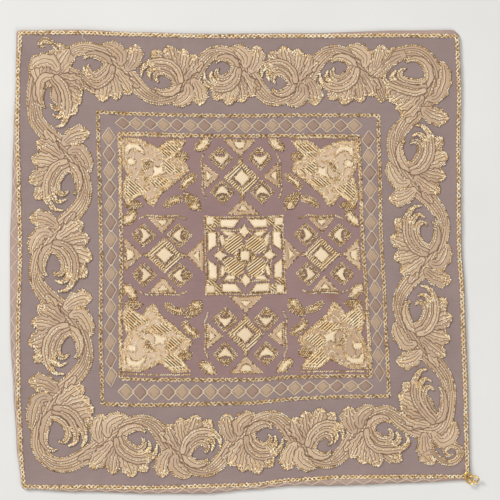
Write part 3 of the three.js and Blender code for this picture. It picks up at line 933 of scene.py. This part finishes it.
def ground_material():
    """Satin ground: fine horizontal threads, soft slubs, a rosier middle and one faint stain."""
    material, tree, shader, at = new_material("ground_satin", 0.0, 0.62, 0.15)
    stretched = node(tree, "ShaderNodeMapping", {"Vector": at, "Scale": (0.12, 1.6, 1.0)})
    slub = noise(tree, stretched.outputs[0], 0.8, 3.0)
    cloud = noise(tree, at, 0.03, 4.0)
    grain = noise(tree, at, 1.4, 2.0)
    base = mix(tree, attribute(tree, "centre"), GROUND, GROUND_ROSE)
    base = mix(tree, maths(tree, "MULTIPLY", attribute(tree, "edge"), 0.7), base, RIM)
    light = maths(tree, "MULTIPLY_ADD", slub, 0.26, 0.87)
    light = maths(tree, "MULTIPLY", light, maths(tree, "MULTIPLY_ADD", cloud, 0.3, 0.85))
    light = maths(tree, "MULTIPLY", light, maths(tree, "MULTIPLY_ADD", grain, 0.24, 0.88))
    base = shaded(tree, base, light)
    spot = (STAIN_PLACE[0] + SHIFT_X, STAIN_PLACE[1] + SHIFT_Y, STAIN_PLACE[2])
    away = node(tree, "ShaderNodeVectorMath", {0: at, 1: spot}, operation="DISTANCE").outputs["Value"]
    fade = {"Value": maths(tree, "MULTIPLY_ADD", cloud, STAIN_RAGGED, away),
            "From Min": STAIN_FADE[0], "From Max": STAIN_FADE[1], "To Min": STAIN_DEPTH, "To Max": 0.0}
    stain = node(tree, "ShaderNodeMapRange", fade).outputs[0]
    tree.links.new(mix(tree, stain, base, STAIN), shader.inputs["Base Color"])
    warp = wave(tree, at, "X", 0.45, 0.4)
    weave = maths(tree, "ADD", wave(tree, at, "Y", 0.62, 0.6, 1.0), maths(tree, "MULTIPLY", warp, 0.5))
    height = maths(tree, "ADD", weave, maths(tree, "MULTIPLY", grain, 1.2))
    bump(tree, shader, height, 0.12, 0.8)
    return material


def thread_material(name, dark, middle, pale, metallic, roughness):
    """Thread or satin: its shade from the tone of each stitch, with fine strands along it."""
    material, tree, shader, at = new_material(name, metallic, roughness, 0.1)
    grain = noise(tree, at, 0.9, 3.0)
    shade = maths(tree, "ADD", attribute(tree, "tone"), maths(tree, "MULTIPLY_ADD", grain, 0.5, -0.25))
    ramp = node(tree, "ShaderNodeValToRGB", {0: shade})
    ramp.color_ramp.elements[0].color = dark
    ramp.color_ramp.elements[1].color = pale
    ramp.color_ramp.elements.new(0.5).color = middle
    tree.links.new(ramp.outputs[0], shader.inputs["Base Color"])
    threads = node(tree, "ShaderNodeUVMap", uv_map="threads").outputs[0]
    strands = wave(tree, threads, "X", STRAND_PITCH / math.pi, 0.8, 1.0)
    bump(tree, shader, maths(tree, "ADD", strands, grain), 0.12, 0.7)
    return material


def back_material():
    """Plain weave: threads both ways, with soft slubs."""
    material, tree, shader, at = new_material("back_weave", 0.0, 0.85, 0.1)
    weave = maths(tree, "MULTIPLY", wave(tree, at, "Y", 0.3, 0.5), wave(tree, at, "X", 0.3, 0.5))
    slub = noise(tree, at, 0.12, 5.0)
    light = maths(tree, "MULTIPLY_ADD", slub, 0.4, maths(tree, "MULTIPLY_ADD", weave, 0.2, 0.72))
    tree.links.new(shaded(tree, BACK, light), shader.inputs["Base Color"])
    bump(tree, shader, weave, 0.2)
    return material


def brass_material():
    """Yellow wire: bright, with fine wear and duller patches."""
    material, tree, shader, at = new_material("brass_wire", 1.0, 0.28)
    wear = noise(tree, at, 0.8, 4.0)
    tree.links.new(mix(tree, wear, BRASS, BRASS_DARK), shader.inputs["Base Color"])
    rough = maths(tree, "MULTIPLY_ADD", wear, 0.3, 0.15)
    tree.links.new(rough, shader.inputs["Roughness"])
    bump(tree, shader, wear, 0.05)
    return material


def floor_material():
    material, tree, shader, at = new_material("pale_floor", 0.0, 0.8)
    cloud = noise(tree, at, 0.01, 3.0)
    tree.links.new(mix(tree, cloud, FLOOR_DARK, FLOOR_PALE), shader.inputs["Base Color"])
    return material


MAKERS = {
    "ground_satin": ground_material,
    "back_weave": back_material,
    "brass_wire": brass_material,
    "pale_floor": floor_material,
}
# Each thread: its dark, middle and pale colours, how metallic it is and how rough.
THREADS = {
    "gold_thread": (GOLD_DARK, GOLD, GOLD_PALE, 0.4, 0.36),
    "beige_satin": (BEIGE_DARK, BEIGE, CREAM_DARK, 0.0, 0.55),
    "faint_satin": (GROUND, FAINT, BEIGE_DARK, 0.0, 0.6),
    "cream_satin": (CREAM_DARK, CREAM, CREAM, 0.0, 0.5),
    "vein_and_shade_thread": (VEIN_AND_SHADE_DARK, VEIN, BEIGE_DARK, 0.0, 0.6),
    "pale_thread": (BEIGE, PALE_THREAD, CREAM, 0.0, 0.6),
}


def material_named(name):
    known = bpy.data.materials.get(name)
    if known:
        return known
    return thread_material(name, *THREADS[name]) if name in THREADS else MAKERS[name]()


# Settings that the panel shows.
def length(name, description, default):
    return bpy.props.FloatProperty(name=name, description=description, default=default,
                                   unit="LENGTH", precision=5)


def in_mm(group, *names):
    return [getattr(group, name) / MM for name in names]


class CoverStitchSettings(bpy.types.PropertyGroup):
    bead_pitch: length("Outline pitch", "Distance between the gold stitches of an outline", 0.002)
    bead_long: length("Outline stitch", "Length of a gold stitch of an outline", 0.0028)
    bead_wide: length("Outline width", "Width of a gold stitch of an outline", 0.0014)
    bead_high: length("Outline height", "Height of a gold stitch above what it is sewn to", 0.0009)
    dash_pitch: length("Dash pitch", "Distance between the pale dashes on a leaf", 0.0031)
    dash_long: length("Dash stitch", "Length of a pale dash", 0.0027)
    dash_wide: length("Dash width", "Width of a pale dash", 0.0012)
    leaf_high: length("Leaf height", "How far a leaf's padding stands up", 0.00028)
    layer_step: length("Layer step", "How much higher each layer of leaves lies", 0.00006)
    slant: bpy.props.FloatProperty(name="Slant", description="Turn of the outline stitches",
                                   default=0.8, subtype="ANGLE")


class CoverChainSettings(bpy.types.PropertyGroup):
    swing: length("Swing", "How far each strand swings from the chain's middle", 0.0015)
    wave: length("Wave", "Length of one full swing of a strand", 0.0084)
    pitch: length("Pitch", "Distance between the stitches of a strand", 0.0021)
    long: length("Stitch", "Length of a stitch", 0.0026)
    wide: length("Width", "Width of a strand", 0.0013)
    high: length("Height", "Height of a strand", 0.0007)


class CoverClothSettings(bpy.types.PropertyGroup):
    lines: bpy.props.IntProperty(name="Lines", description="Mesh lines each way over the face",
                                 default=150, min=20)
    flat: length("Flat size", "The side of the square that each panel was cut to", 0.45)


class CoverLinkSettings(bpy.types.PropertyGroup):
    wire: length("Wire", "Thickness of the links' wire", 0.0017)
    thread: length("Thread", "Thickness of a loose thread", 0.0005)


# The face's mesh lines past the chain, and the level of the first one on the underside.
EDGE_LINES = (2, 1.8, 1.55, 1.25)
ROUND_LEVEL = 0.35
# The back's mesh lines each way.
BACK_LINES = 60


class COVER_OT_face(bpy.types.Operator):
    """Make the brocade face, with its edge turned round onto the underside"""

    bl_idname = "cover.face"
    bl_label = "Face cloth"

    def execute(self, context):
        settings = context.scene.cover_cloth
        inner = np.linspace(-1, 1, settings.lines)
        edge = np.array(EDGE_LINES)
        rim = [0, HEM_ROUND / 2, HEM_ROUND, HEM_WIDTH, HEM_WIDTH + HEM_STEP]
        lines = np.concatenate([-edge, inner, edge[::-1]])
        count = len(lines)
        s, t = (grid.ravel() for grid in np.meshgrid(lines, lines))
        x, y = place(s, t)
        z = level(s, t, x, y)
        top = to_metres(x, y, z)

        # Underneath, the first lines keep their distance from the edge, as the hem does.
        def under_places(values, low, high):
            number = np.arange(count)
            from_end = np.minimum(number, count - 1 - number)
            line = np.searchsorted(lines, values)
            near = from_end[line]
            margin = np.where(values < 0, low, high)
            distance = np.array(rim + [0])[np.minimum(near, len(rim))]
            away = place_at_inset(distance, margin)
            return np.where(near < len(rim), np.sign(values) * away, values), near

        ti, si = np.clip(t, -1, 1), np.clip(s, -1, 1)
        us, near_s = under_places(s, *both_sides(ACROSS, MARGIN, ti))
        ut, near_t = under_places(t, *both_sides(UPWARDS, MARGIN, si))
        ux, uy = place(us, ut)
        near = np.minimum(near_s, near_t)
        shallow = np.maximum(BACK_THICKNESS + GAP, level(us, ut, ux, uy) - FACE_THICKNESS)
        uz = np.where(near <= 3, 0.0, shallow)
        uz = np.where(near == 0, EDGE_LEVEL, np.where(near == 1, ROUND_LEVEL, uz))
        under = to_metres(ux, uy, uz)
        number = np.arange(count * count)
        rim_points = near == 0
        under_index = np.where(rim_points, number, 0)
        under_index[~rim_points] = len(top) + np.arange((~rim_points).sum())
        faces = grid_faces(count, count)
        below = under_index[faces][:, ::-1]
        points = np.vstack([top, under[~rim_points]])
        out = np.maximum(np.abs(s), np.abs(t))
        centre = 1 - ease(out, INNER_FRAME - 0.01, INNER_FRAME + 0.01)
        rim_light = ease(out, 1.02, 1.2)
        values = {"centre": np.concatenate([centre, centre[~rim_points]]),
                  "edge": np.concatenate([rim_light, rim_light[~rim_points]])}
        cloth = mesh_piece("face_cloth", points, np.vstack([faces, below]),
                           material_named("ground_satin"), values)
        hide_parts("front_panel")
        return {"FINISHED"}


def filled_in(grid):
    """The grid again, with its inner places spread evenly between its four edges."""
    share = np.linspace(0, 1, len(grid))
    u, v = share[None, :, None], share[:, None, None]
    rows = (1 - v) * grid[:1] + v * grid[-1:]
    columns = (1 - u) * grid[:, :1] + u * grid[:, -1:]
    low = (1 - u) * grid[0, 0] + u * grid[0, -1]
    high = (1 - u) * grid[-1, 0] + u * grid[-1, -1]
    return rows + columns - ((1 - v) * low + v * high)


class COVER_OT_back(bpy.types.Operator):
    """Make the plain back, lying inside the turned edge"""

    bl_idname = "cover.back"
    bl_label = "Back cloth"

    def execute(self, context):
        count = BACK_LINES
        share = np.linspace(-1, 1, count)
        s, t = (grid.ravel() for grid in np.meshgrid(share, share))

        def drawn_in(value, sides, other):
            low, high = both_sides(sides, MARGIN, other)
            return value * place_at_inset(BACK_INSET, np.where(value < 0, low, high))

        grid = np.column_stack(place(drawn_in(s, ACROSS, t), drawn_in(t, UPWARDS, s)))
        x, y = filled_in(grid.reshape(count, count, 2)).reshape(-1, 2).T
        top, low = (to_metres(x, y, np.full(x.size, z)) for z in (BACK_THICKNESS, 0.0))
        faces = grid_faces(count, count)
        k = np.arange(count - 1)
        last = count - 1
        loop = np.concatenate([k, k * count + last, (last * count + last - k), (last - k) * count])
        after = np.roll(loop, -1)
        below = loop + count * count
        below_after = after + count * count
        walls = np.vstack([np.stack([loop, below, below_after], 1),
                           np.stack([loop, below_after, after], 1)])
        cloth = mesh_piece("back_cloth", np.vstack([top, low]),
                           np.vstack([faces, faces[:, ::-1] + count * count, walls]),
                           material_named("back_weave"))
        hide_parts("back_panel")
        return {"FINISHED"}


# The border's threads as half width and height: a dark cord under an outline, painted shade between its
# gold stitches; a dark cord where a leaf meets the one below it, painted shade at that step; a vein; and
# a pale cord.
PAINTED_SHADE_CORD = (0.95, 0.25)
LAYER_SHADE_CORD = (0.42, 0.16)
VEIN_CORD = (0.32, 0.14)
PALE_CORD = (0.5, 0.35)
# Where the tip of a leaf starts, and which part of a leaf its lines cover, as shares of its length.
TIP_START = 0.68
LINE_START, LINE_END = 0.1, 0.92


class COVER_OT_scrolls(bpy.types.Operator):
    """Sew the scroll border: padded leaves, their veins, their gold outlines, and dark cords of painted
    shade under the outlines and where leaves overlap
    """

    bl_idname = "cover.scrolls"
    bl_label = "Scroll border"

    def execute(self, context):
        sewing = context.scene.cover_stitches
        leaves = scroll_leaves()
        fills, outlines, veins, dashes = (Stock(SEED + k) for k in range(4))
        bead = in_mm(sewing, "bead_long", "bead_wide", "bead_high")
        dash = in_mm(sewing, "dash_long", "dash_wide") + [bead[2] * 0.6]
        high, step, pitch, dash_pitch = in_mm(sewing, "leaf_high", "layer_step", "bead_pitch",
                                              "dash_pitch")
        for number, one in enumerate(leaves):
            lift = one["layer"] * step
            top = lift + high
            fills.strip(one, lift, high, 0.5 + 0.2 * math.sin(number * 2.4))
            lower = [other["polygon"] for other in leaves[:number]]
            later = [other["polygon"] for other in leaves[number + 1:]]
            hidden = later + lower
            slant = sewing.slant * (1 if one["half"].sum() > 0 else -1)

            def outer(places, polygons=hidden):
                return clear_of(polygons, places)

            for rim in one["rims"]:
                rim = evenly(rim, 1.2)
                # Where the rim shows, a dark cord lies under its gold stitches: painted shade in the
                # gaps between them.
                for part in runs(rim, clear_of(hidden, rim)):
                    veins.cord(part, PAINTED_SHADE_CORD[0], top - 0.1, PAINTED_SHADE_CORD[1], 0.1)
                outlines.bead_run(rim, pitch, bead, top, slant, 0.65, outer)
                # Where this leaf lies over a lower one, a dark cord runs along its rim: painted shade at
                # the step.
                for part in runs(rim, clear_of(later, rim) & ~clear_of(hidden, rim)):
                    veins.cord(part, LAYER_SHADE_CORD[0], top - 0.05, LAYER_SHADE_CORD[1], 0.3)
            if one["name"] in KNOTTED:
                count = len(one["curve"])
                pick = outlines.rng.integers(int(count * TIP_START), count, TIP_KNOTS)
                across = one["half"][pick] * outlines.rng.uniform(-0.9, 0.9, TIP_KNOTS)
                tip = one["curve"][pick] + sideways(one["curve"])[pick] * across[:, None]
                tip = tip[outer(tip)]
                outlines.beads(tip, outlines.rng.uniform(0, math.pi, len(tip)), bead, top, 0.75)
            lines = [one["curve"] + sideways(one["curve"]) * (one["half"] * line)[:, None]
                     for line in one["lines"]]
            for order, path in enumerate(lines):
                if one["name"] != "vine":
                    path = path[(one["share"] > LINE_START) & (one["share"] < LINE_END)]
                if len(path) < 4:
                    continue
                for part in runs(path, clear_of(later, path)):
                    veins.cord(part, VEIN_CORD[0], top + 0.02, VEIN_CORD[1], 0.3)
                pale = path + sideways(path) * 1.0
                if one["name"] not in DOTTED:
                    pale = pale[len(pale) // 3:]
                if order % 2 == 0:
                    dashes.bead_run(pale, dash_pitch, dash, top, 0.3, 0.8,
                                    lambda places: clear_of(later, places))
                    continue
                if one["name"] in DOTTED:
                    continue
                for part in runs(pale, clear_of(later, pale)):
                    dashes.cord(part, PALE_CORD[0], top, PALE_CORD[1], dashes.rng.uniform(0.55, 0.9))
        fills.piece("scroll_leaves", material_named("beige_satin"), "face_cloth")
        outlines.piece("scroll_outlines", material_named("gold_thread"), "face_cloth")
        veins.piece("scroll_veins_and_shade", material_named("vein_and_shade_thread"), "face_cloth")
        dashes.piece("scroll_dashes", material_named("gold_thread"), "face_cloth")
        return {"FINISHED"}


# How much bolder the chain round the edge is than the inner two.
EDGE_CHAIN_BOLD = 1.2


class COVER_OT_chains(bpy.types.Operator):
    """Sew the three gold chains: round the edge and both sides of the lozenge band"""

    bl_idname = "cover.chains"
    bl_label = "Chains"

    def execute(self, context):
        chain = context.scene.cover_chain
        stock = Stock(SEED + 10)
        size = in_mm(chain, "long", "wide", "high")
        wave_length, pitch, swing = in_mm(chain, "wave", "pitch", "swing")
        for share in (1, OUTER_FRAME, INNER_FRAME):
            half = np.array([HALF_WIDTH, HALF_HEIGHT]) * share
            path = evenly(closed(half * np.array([(1, 1), (-1, 1), (-1, -1), (1, -1)])), 0.5)
            run = run_lengths(path)
            waves = round(run[-1] / wave_length)
            phase = 2 * math.pi * waves * run / run[-1]
            for strand in (0, math.pi):
                curve = path + sideways(path) * (np.sin(phase + strand) * swing)[:, None]
                places = evenly(np.column_stack([curve, phase]), pitch / 2)[1::2]
                ahead = headings(places[:, :2])
                angle = np.arctan2(ahead[:, 1], ahead[:, 0])
                lift = 0.25 + 0.25 * np.cos(places[:, 2] / 2 + strand / 2)
                angle = angle + stock.rng.uniform(-0.3, 0.3, len(angle))
                at = places[:, :2] + stock.rng.uniform(-0.25, 0.25, (len(places), 2))
                bold = EDGE_CHAIN_BOLD if share == 1 else 1.0
                tone = 0.55 + 0.5 * (bold - 1)
                stock.beads(at, angle, [value * bold for value in size], lift, tone, 0.5)
            # A dark gold cord under the chain: painted shade in the gaps between its stitches.
            stock.cord(path[::3], 1.3, -0.02, 0.2, 0.05)
        stock.piece("frame_chains", material_named("gold_thread"), "face_cloth")
        return {"FINISHED"}


# The lozenges of each side of the band: how many, quarter turns from the top, half height, how far
# the row reaches past the inner chain's corners, and 0 or 1 for which of the first two is beige.
LOZENGE_SIDES = [(18, 0, 6.1, 2, 1), (15, 1, 5.7, 4, 0), (18, 2, 5.7, 2, 1), (15, 3, 6.5, 4, 1)]
# How far a sewn outline reaches past its lozenge at each end, how uneven the heights are, and the
# share of the lozenge that is padded.
LOZENGE_OVERLAP = 1.1
LOZENGE_UNEVEN = 0.06
LOZENGE_PADDED = 0.9
# Where cloth folded over the edge shows its zigzag: side, first and last place along it. It swings
# from just past the chain to just short of the cloth's edge, where the margin is wide enough.
EDGE_ZIGZAGS = [("left", -212.0, 180.0), ("bottom", -206.0, 200.0)]
ZIGZAG_STEP = 8.5
ZIGZAG_INNER = 2.4
ZIGZAG_LEAST_MARGIN = 2.9


class COVER_OT_lozenges(bpy.types.Operator):
    """Sew the band of lozenges between the inner chains, and the zigzag at the folded edge"""

    bl_idname = "cover.lozenges"
    bl_label = "Lozenge band"

    def execute(self, context):
        fills, lines, faint = (Stock(SEED + 20 + k) for k in range(3))
        middle = (OUTER_FRAME + INNER_FRAME) / 2
        for count, side, high, past, beige in LOZENGE_SIDES:
            across, reach = (HALF_HEIGHT, HALF_WIDTH) if side % 2 == 0 else (HALF_WIDTH, HALF_HEIGHT)
            reach = reach * INNER_FRAME + past
            pitch = 2 * reach / count
            for k in range(count):
                here = (-reach + pitch * (k + 0.5), across * middle)
                tall = high * (1 + LOZENGE_UNEVEN * math.sin(2.3 * k + side))
                shape = np.array([(pitch / 2, 0), (0, tall), (-pitch / 2, 0), (0, -tall)])
                loop = shape[[0, 1, 2, 3, 0]] * (1 + 2 * LOZENGE_OVERLAP / pitch, 1)
                turn = side * math.pi / 2
                lines.cord(evenly(turned(loop + here, turn), 1.5), 0.45, 0.1, 0.45, 0.95)
                stock, tone = (fills, 0.16) if k % 2 == beige else (faint, 0.5)
                stock.plate(turned(shape * LOZENGE_PADDED + here, turn), 0.0, 0.12, tone)
        for side, first, last in EDGE_ZIGZAGS:
            at = np.arange(first, last, ZIGZAG_STEP)
            rows, half, reach = ((LEFT_SIDE, HALF_WIDTH, HALF_HEIGHT) if side == "left" else
                                 (BOTTOM_SIDE, HALF_HEIGHT, HALF_WIDTH))
            margin = along(rows, MARGIN, at / reach)
            outwards = np.maximum(margin - 0.9, ZIGZAG_INNER + 0.1)
            off = np.where(np.arange(len(at)) % 2, ZIGZAG_INNER, outwards)
            kept = margin > ZIGZAG_LEAST_MARGIN
            path = np.column_stack([-half - off, at])[kept]
            for part in np.split(path, np.flatnonzero(np.diff(at[kept]) > ZIGZAG_STEP + 0.1) + 1):
                if len(part) > 1:
                    part = part if side == "left" else part[:, ::-1]
                    lines.cord(evenly(part, 1.0), 0.45, 0.02, 0.3, 0.6)
        fills.piece("lozenge_fills", material_named("beige_satin"), "face_cloth")
        faint.piece("lozenge_faint", material_named("faint_satin"), "face_cloth")
        lines.piece("lozenge_lines", material_named("pale_thread"), "face_cloth")
        return {"FINISHED"}


class COVER_OT_tiles(bpy.types.Operator):
    """Sew the nine tiles of the centre"""

    bl_idname = "cover.tiles"
    bl_label = "Centre tiles"

    def execute(self, context):
        sewing = context.scene.cover_stitches
        stocks = {kind: Stock(SEED + 30 + k)
                  for k, kind in enumerate(("cream", "beige", "stripes", "knots", "outlines"))}
        bead = in_mm(sewing, "bead_long", "bead_wide", "bead_high")
        pitch, = in_mm(sewing, "bead_pitch")
        fine = [value * 0.8 for value in bead]
        for number, (kind, outline, angle) in enumerate(centre_shapes()):
            tone = 0.5 + 0.2 * math.sin(number * 1.7)
            slant = sewing.slant * (1 if number % 2 else -1)
            rim = closed(outline)
            if kind == "single":
                outline = evenly(outline, 1.5)
                # A dark gold cord under the line: painted shade in the gaps between its stitches.
                stocks["stripes"].cord(outline, 0.9, 0.0, 0.2, 0.0)
                stocks["outlines"].bead_run(outline, pitch, bead, 0.1, slant, 0.6)
            elif kind == "double":
                for off in (-0.8, 0.8):
                    curve = evenly(rim, 0.8)
                    curve = curve + sideways(curve) * off
                    stocks["outlines"].bead_run(curve, pitch, fine, 0.2, slant, 0.6)
                # A dark gold cord under the double line: painted shade between its stitches.
                stocks["stripes"].cord(evenly(rim, 1.5), 1.3, 0.0, 0.3, 0.0)
            elif kind == "stripes":
                for line in hatch(outline, angle, 2.4):
                    stocks["stripes"].cord(evenly(line, 2.0, 4), 0.72, 0.35, 0.6,
                                           stocks["stripes"].rng.uniform(0.55, 1.0))
                # A dark gold plate under the stripes: painted shade between them.
                stocks["stripes"].plate(outline, 0.1, 0.35, 0.0)
                stocks["outlines"].bead_run(rim, pitch, fine, 0.4, slant, 0.5)
            elif kind == "knots":
                # A dark gold plate under the knots: painted shade between them.
                stocks["knots"].plate(outline, 0.1, 0.3, 0.0)
                stocks["knots"].scatter(outline, (2.1, 1.6), fine, 0.35, 0.6)
            else:
                raised = 0.3 if kind == "cream" else 0.0
                if kind == "flecked":
                    heart = outline.mean(axis=0)
                    for share in (0.93, 0.84, 0.62, 0.36):
                        stocks["knots"].bead_run(heart + (rim - heart) * share, pitch, bead, 0.35, slant,
                                                 0.65)
                    kind = "beige"
                # A dark gold cord round the patch: painted shade beneath its padded rim.
                stocks["stripes"].cord(evenly(rim, 1.2), 0.9, raised, 0.3, 0.0)
                stocks[kind].plate(outline, raised, 0.35, tone, angle)
                stocks["outlines"].bead_run(rim, pitch, fine if kind == "cream" else bead,
                                            raised + 0.1, slant, 0.5)
        names = {"cream": "cream_satin", "beige": "beige_satin"}
        for kind, stock in stocks.items():
            stock.piece(f"centre_{kind}", material_named(names.get(kind, "gold_thread")), "face_cloth")
        return {"FINISHED"}


# The wire links, as in the CAD part: over the wire, middle, turn, lean and dip in degrees.
RING = dict(long=14.2, wide=9.0, x=227.8, y=-217.5, level=6.0, turn=-62, lean=0, dip=6)
HOOK = dict(long=12.1, wide=9.6, x=232.6, y=-218.3, level=5.7, turn=-12, lean=40, dip=5)
HOOK_START, HOOK_ARC, HOOK_TAIL, HOOK_TAIL_TURN = -70, 330, 4.2, -26
RING_STEPS = 64
HOOK_STEPS = 60
# Loose threads lying on the cloth, as places in the design and lifts. The fifth is a pale speck and
# the last a short line sewn by hand in brown.
SEWN_LINE = 5
LOOSE_THREADS = [
    [(-231, 141, 0.6), (-233, 137, 1.4), (-230, 134, 1.6), (-227, 137, 1), (-229, 141, 0.9)],
    [(-229, 110, 0.4), (-228, 113, 1.2), (-225, 112, 0.6)],
    [(-156, 224, 0.6), (-157, 219, 1.5), (-154, 216, 1.3), (-155, 212, 0.4)],
    [(-14, -229, 0.5), (-12, -232, 0.2), (-13, -235, -0.9)],
    [(-37.4, 41.4, 0.3), (-36.5, 42.2, 0.6), (-35.6, 42, 0.3)],
    [(207, -201, 0.4), (212, -200.4, 0.8), (217, -201.4, 0.8), (222, -200.6, 0.3)],
]


def wire_piece(name, points, radius, cyclic, material):
    """A round wire through the points given, made as a curve and turned into a mesh."""
    curve = bpy.data.curves.new(name, "CURVE")
    curve.dimensions = "3D"
    curve.bevel_depth = radius
    curve.bevel_resolution = 4
    curve.use_fill_caps = True
    line = curve.splines.new("POLY")
    line.points.add(len(points) - 1)
    for spot, point in zip(line.points, points):
        spot.co = (*point, 1.0)
    line.use_cyclic_u = cyclic
    piece = bpy.data.objects.new(name, curve)
    bpy.context.scene.collection.objects.link(piece)
    bpy.ops.object.select_all(action="DESELECT")
    piece.select_set(True)
    bpy.context.view_layer.objects.active = piece
    bpy.ops.object.convert(target="MESH")
    piece = bpy.context.view_layer.objects.active
    piece.data.shade_smooth()
    piece.data.materials.clear()
    piece.data.materials.append(material)
    return piece


def oval(link, wire, angles):
    long, wide = (link["long"] - wire) / 2, (link["wide"] - wire) / 2
    return np.column_stack([long * np.cos(angles), wide * np.sin(angles), np.zeros(len(angles))])


def seated(link, points):
    """The link's points where it lies, in metres."""
    turn = Euler([math.radians(link[key]) for key in ("lean", "dip", "turn")], "XYZ").to_matrix()
    points = points @ np.array(turn).T + (link["x"], link["y"], link["level"])
    return to_metres(*points.T)


class COVER_OT_links(bpy.types.Operator):
    """Make the closed ring and the open link through it"""

    bl_idname = "cover.links"
    bl_label = "Wire links"

    def execute(self, context):
        wire = context.scene.cover_links.wire / MM
        brass = material_named("brass_wire")
        ring_angles = np.linspace(0, 2 * math.pi, RING_STEPS + 1)[:-1]
        ring = wire_piece("ring_wire", seated(RING, oval(RING, wire, ring_angles)), wire / 2 * MM,
                          True, brass)
        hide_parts("corner_ring")
        bent = oval(HOOK, wire, np.radians(HOOK_START - np.linspace(0, HOOK_ARC, HOOK_STEPS)))
        away = math.radians(HOOK_TAIL_TURN)
        tail = bent[0] + HOOK_TAIL * np.array([math.cos(away), math.sin(away), 0])
        hook = wire_piece("hook_wire", seated(HOOK, spline(np.vstack([tail, bent[::3]]), 0.4)),
                          wire / 2 * MM, False, brass)
        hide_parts("hook_link")
        for piece in (ring, hook):
            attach(piece, "root")
        return {"FINISHED"}


class COVER_OT_threads(bpy.types.Operator):
    """Lay the loose threads, the pale speck and the short line sewn by hand"""

    bl_idname = "cover.threads"
    bl_label = "Loose threads"

    def execute(self, context):
        radius = context.scene.cover_links.thread / 2
        for number, thread in enumerate(LOOSE_THREADS):
            path = spline(thread, 0.6)
            spots = drape(path[:, :2], path[:, 2])
            piece = wire_piece(f"loose_thread_{number + 1}", spots, radius, False,
                               material_named("vein_and_shade_thread" if number == SEWN_LINE else "pale_thread"))
            tone = piece.data.attributes.new("tone", "FLOAT", "POINT")
            tone.data.foreach_set("value", np.full(len(piece.data.vertices), 0.6, np.float32))
            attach(piece, "root")
        return {"FINISHED"}


# The stage, in metres but for the camera's aim in the drawing: floor, camera and width of the view.
FLOOR_SIZE = 6.0
CAMERA_AIM = (9.5, 10.0)
CAMERA_HEIGHT = 2.0
VIEW_WIDTH = 0.5
# The lamps: place about the aim, size and power.
LAMPS = [
    ((-2.4, 2.2, 2.6), 1.3, 148.0),
    ((1.6, -2.0, 2.2), 1.6, 44.0),
    ((0.2, -0.3, 2.8), 1.0, 12.0),
]


class COVER_OT_stage(bpy.types.Operator):
    """Set the pale floor, the soft lamps and the camera straight above"""

    bl_idname = "cover.stage"
    bl_label = "Stage"

    def execute(self, context):
        aim = Vector(((CAMERA_AIM[0] + SHIFT_X) * MM, (CAMERA_AIM[1] + SHIFT_Y) * MM, 0.0))
        bpy.ops.mesh.primitive_plane_add(size=FLOOR_SIZE, location=(0, 0, 0))
        floor = context.active_object
        floor.name = "floor"
        floor.data.materials.append(material_named("pale_floor"))
        for number, (offset, size, power) in enumerate(LAMPS):
            lamp = bpy.data.lights.new(f"lamp_{number + 1}", "AREA")
            lamp.energy = power
            lamp.size = size
            holder = bpy.data.objects.new(lamp.name, lamp)
            holder.location = aim + Vector(offset)
            holder.rotation_euler = (-Vector(offset)).to_track_quat("-Z", "Y").to_euler()
            context.scene.collection.objects.link(holder)
        world = bpy.data.worlds.new("soft_sky")
        world.use_nodes = True
        background = world.node_tree.nodes["Background"]
        background.inputs["Color"].default_value = SKY
        background.inputs["Strength"].default_value = SKY_STRENGTH
        context.scene.world = world
        camera = bpy.data.cameras.new("camera")
        camera.angle = 2 * math.atan(VIEW_WIDTH / 2 / CAMERA_HEIGHT)
        holder = bpy.data.objects.new("camera", camera)
        holder.location = aim + Vector((0, 0, CAMERA_HEIGHT))
        context.scene.collection.objects.link(holder)
        context.scene.camera = holder
        context.scene.view_settings.view_transform = "Standard"
        return {"FINISHED"}


OPERATORS = (
    COVER_OT_face, COVER_OT_back, COVER_OT_scrolls, COVER_OT_chains, COVER_OT_lozenges,
    COVER_OT_tiles, COVER_OT_links, COVER_OT_threads, COVER_OT_stage,
)
SETTINGS = {
    "cover_cloth": CoverClothSettings,
    "cover_stitches": CoverStitchSettings,
    "cover_chain": CoverChainSettings,
    "cover_links": CoverLinkSettings,
}


class COVER_PT_panel(bpy.types.Panel):
    bl_label = "Brocade cover"
    bl_idname = "COVER_PT_panel"
    bl_space_type = "VIEW_3D"
    bl_region_type = "UI"
    bl_category = "Cover"

    def draw(self, context):
        for key, group in SETTINGS.items():
            box = self.layout.box()
            for name in group.__annotations__:
                box.prop(getattr(context.scene, key), name)
        for operator in OPERATORS:
            self.layout.operator(operator.bl_idname)


CLASSES = (*SETTINGS.values(), *OPERATORS, COVER_PT_panel)


def register():
    for each in CLASSES:
        bpy.utils.register_class(each)
    for key, group in SETTINGS.items():
        setattr(bpy.types.Scene, key, bpy.props.PointerProperty(type=group))


def unregister():
    for key in SETTINGS:
        delattr(bpy.types.Scene, key)
    for each in reversed(CLASSES):
        bpy.utils.unregister_class(each)


def main():
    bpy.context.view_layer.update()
    register()
    for operator in OPERATORS:
        space, name = operator.bl_idname.split(".")
        getattr(getattr(bpy.ops, space), name)()


if __name__ == "__main__":
    main()
